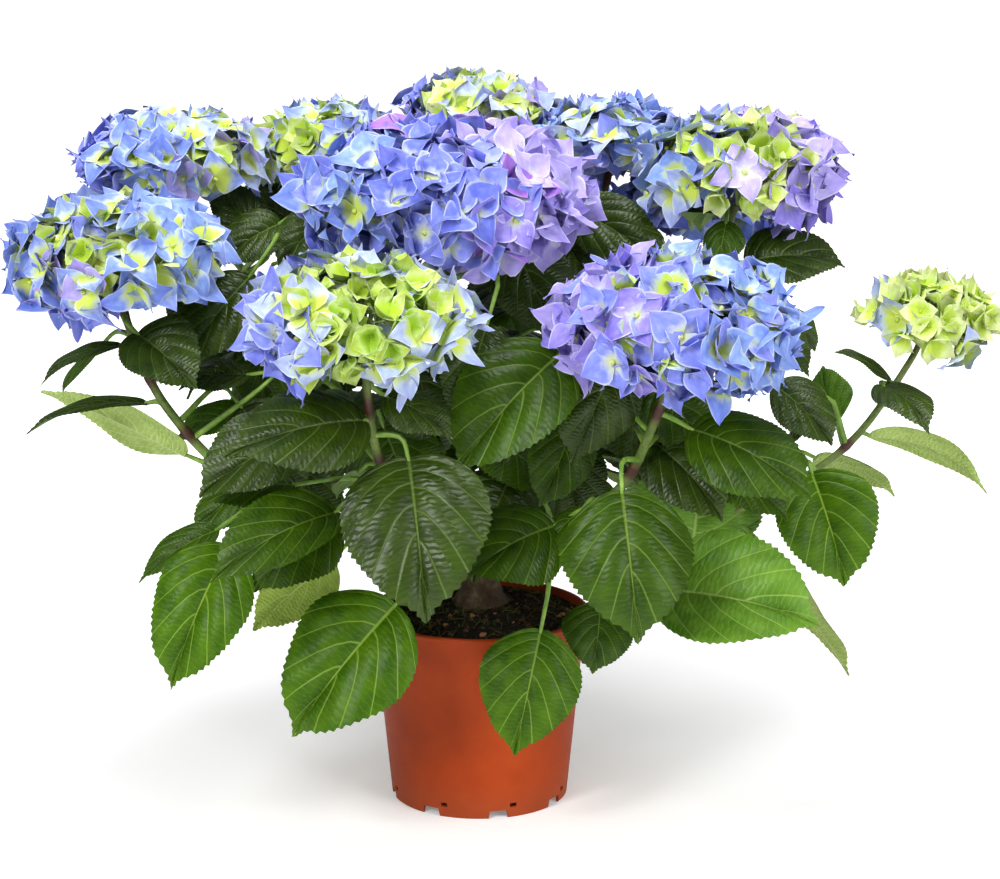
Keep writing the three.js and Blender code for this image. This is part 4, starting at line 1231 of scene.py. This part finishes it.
HUB_DEPTH = 0.55
FORK_REACH = 0.42
GOLDEN_ANGLE = 2.39996
GREEN_TINTS = ("lime", "pale_lime", "young_lime", "lime_tipped")


def pick(tints, across):
    """One of the tints, listed from the head's left to its right, for a place across it."""
    spot = (across * 0.5 + 0.5) * len(tints) + flower_chance.normal(0, 0.9)
    return tints[int(min(len(tints) - 1, max(0, spot)))]


flower_stalks = Gathered()
for name in head_names:
    low, high = head_boxes[name]
    middle, radii = (low + high) / 2 - np.array([0, 0, DEEPER_SAG.get(name, HEAD_SAG)]), (high - low) / 2
    inner_tints, rim_tints = (words.split() for words in HEAD_MIXES[name])
    lean = unit(np.array([middle[0] * 0.9, middle[1] * 0.9, 0.42]))
    at_rear = middle[1] > 0.12
    heart = lean if at_rear else unit(np.array([middle[0] * 0.8, middle[1] * 0.5 - 0.2, 0.26]))
    level = unit(np.cross(lean, (0.0, 1.0, 0.0)))
    ahead = np.cross(lean, level)
    count = int(2 * math.pi * HEAD_FALL * (radii[0] * radii[1] * radii[2]) ** (2 / 3) / FLORET_SPACING ** 2)
    hub = middle - np.array([0, 0, radii[2] * HUB_DEPTH])
    branch_count = max(7, count // FLORETS_PER_BRANCH)
    branch_ends = []
    florets = Gathered()
    for layer, share in ((0, 1.0), (1, UNDER_LAYER_SHARE)):
        number_here = int(count * share)
        for k in range(number_here):
            fall = 1 - HEAD_FALL * (k + 0.5) / number_here
            turn = k * GOLDEN_ANGLE + layer * 1.1
            spread = math.sqrt(1 - fall * fall)
            aim = lean * fall + spread * (level * math.cos(turn) + ahead * math.sin(turn))
            aim = unit(aim + flower_chance.normal(0, 0.07, 3))
            rim = min(1, max(0, (1 - np.dot(aim, heart)) / 1.05 + flower_chance.normal(0, 0.14)))
            tint = pick(rim_tints if flower_chance.random() < rim else inner_tints, aim[0])
            young = tint in GREEN_TINTS
            reach = flower_chance.uniform(*(YOUNG_REACH if young else OPEN_REACH))
            depth = 0.14 + flower_chance.uniform(0, 0.10) + UNDER_LAYER_DEPTH * layer + 0.06 * young
            centre = middle + radii * aim * (1 - depth)
            normal = unit(aim / radii) + flower_chance.normal(0, FLORET_TILT, 3)
            normal = unit(normal + np.array([0, 0, 0.10]))
            roll = flower_chance.uniform(0, math.pi / 2)
            across = unit(np.cross(normal, (math.cos(roll), math.sin(roll), 0.3)))
            onward = np.cross(normal, across)
            templates = YOUNG_FLORETS if young and flower_chance.random() < 0.7 else OPEN_FLORETS
            template = templates[flower_chance.integers(len(templates))]
            verts = centre + reach * (template @ np.stack([across, onward, normal]))
            limit = HEAD_POKE if aim[2] > -0.1 else HEAD_POKE_BELOW
            poke = np.linalg.norm((verts - middle) / radii, axis=1).max() - limit
            inward = radii * aim * max(0, poke)
            centre = centre - inward
            verts = verts - inward
            florets.add(verts, floret_faces, floret_map, tint_names.index(tint))
            branch = middle + radii * unit(aim + flower_chance.normal(0, 0.05, 3)) * FORK_REACH
            if len(branch_ends) < branch_count:
                branch_ends.append(branch)
            ends = np.array(branch_ends)
            fork = ends[np.argmin(np.linalg.norm(ends - centre, axis=1))]
            bow = (fork + centre - normal * 0.012) / 2
            pedicel = smooth_path([fork, bow, centre], 4)
            flower_stalks.add(*tube(pedicel, [0.0010, 0.0009, 0.0008, 0.0009], 4))
    for end in branch_ends:
        ray = smooth_path([hub, hub * 0.45 + end * 0.55 - np.array([0, 0, 0.004]), end], 6)
        flower_stalks.add(*tube(ray, np.linspace(0.0022, 0.0012, 6), 6))
    mesh = florets.mesh(name, map_names=["petal_uv"], tiles_across=4)
    piece = place(name.replace("head", "florets"), mesh, tint_materials, smooth_deg=75)
    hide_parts(name)

pale_stalk = mottled_material("pale_stalk", (0.55, 0.35), (200.0, 900.0), [
    (0.35, (0.20, 0.32, 0.06)), (0.65, (0.36, 0.48, 0.14))], (0.3, 0.0005))
stalks = place("flower_stalks", flower_stalks.mesh("flower_stalks"), [pale_stalk], smooth_deg=75)
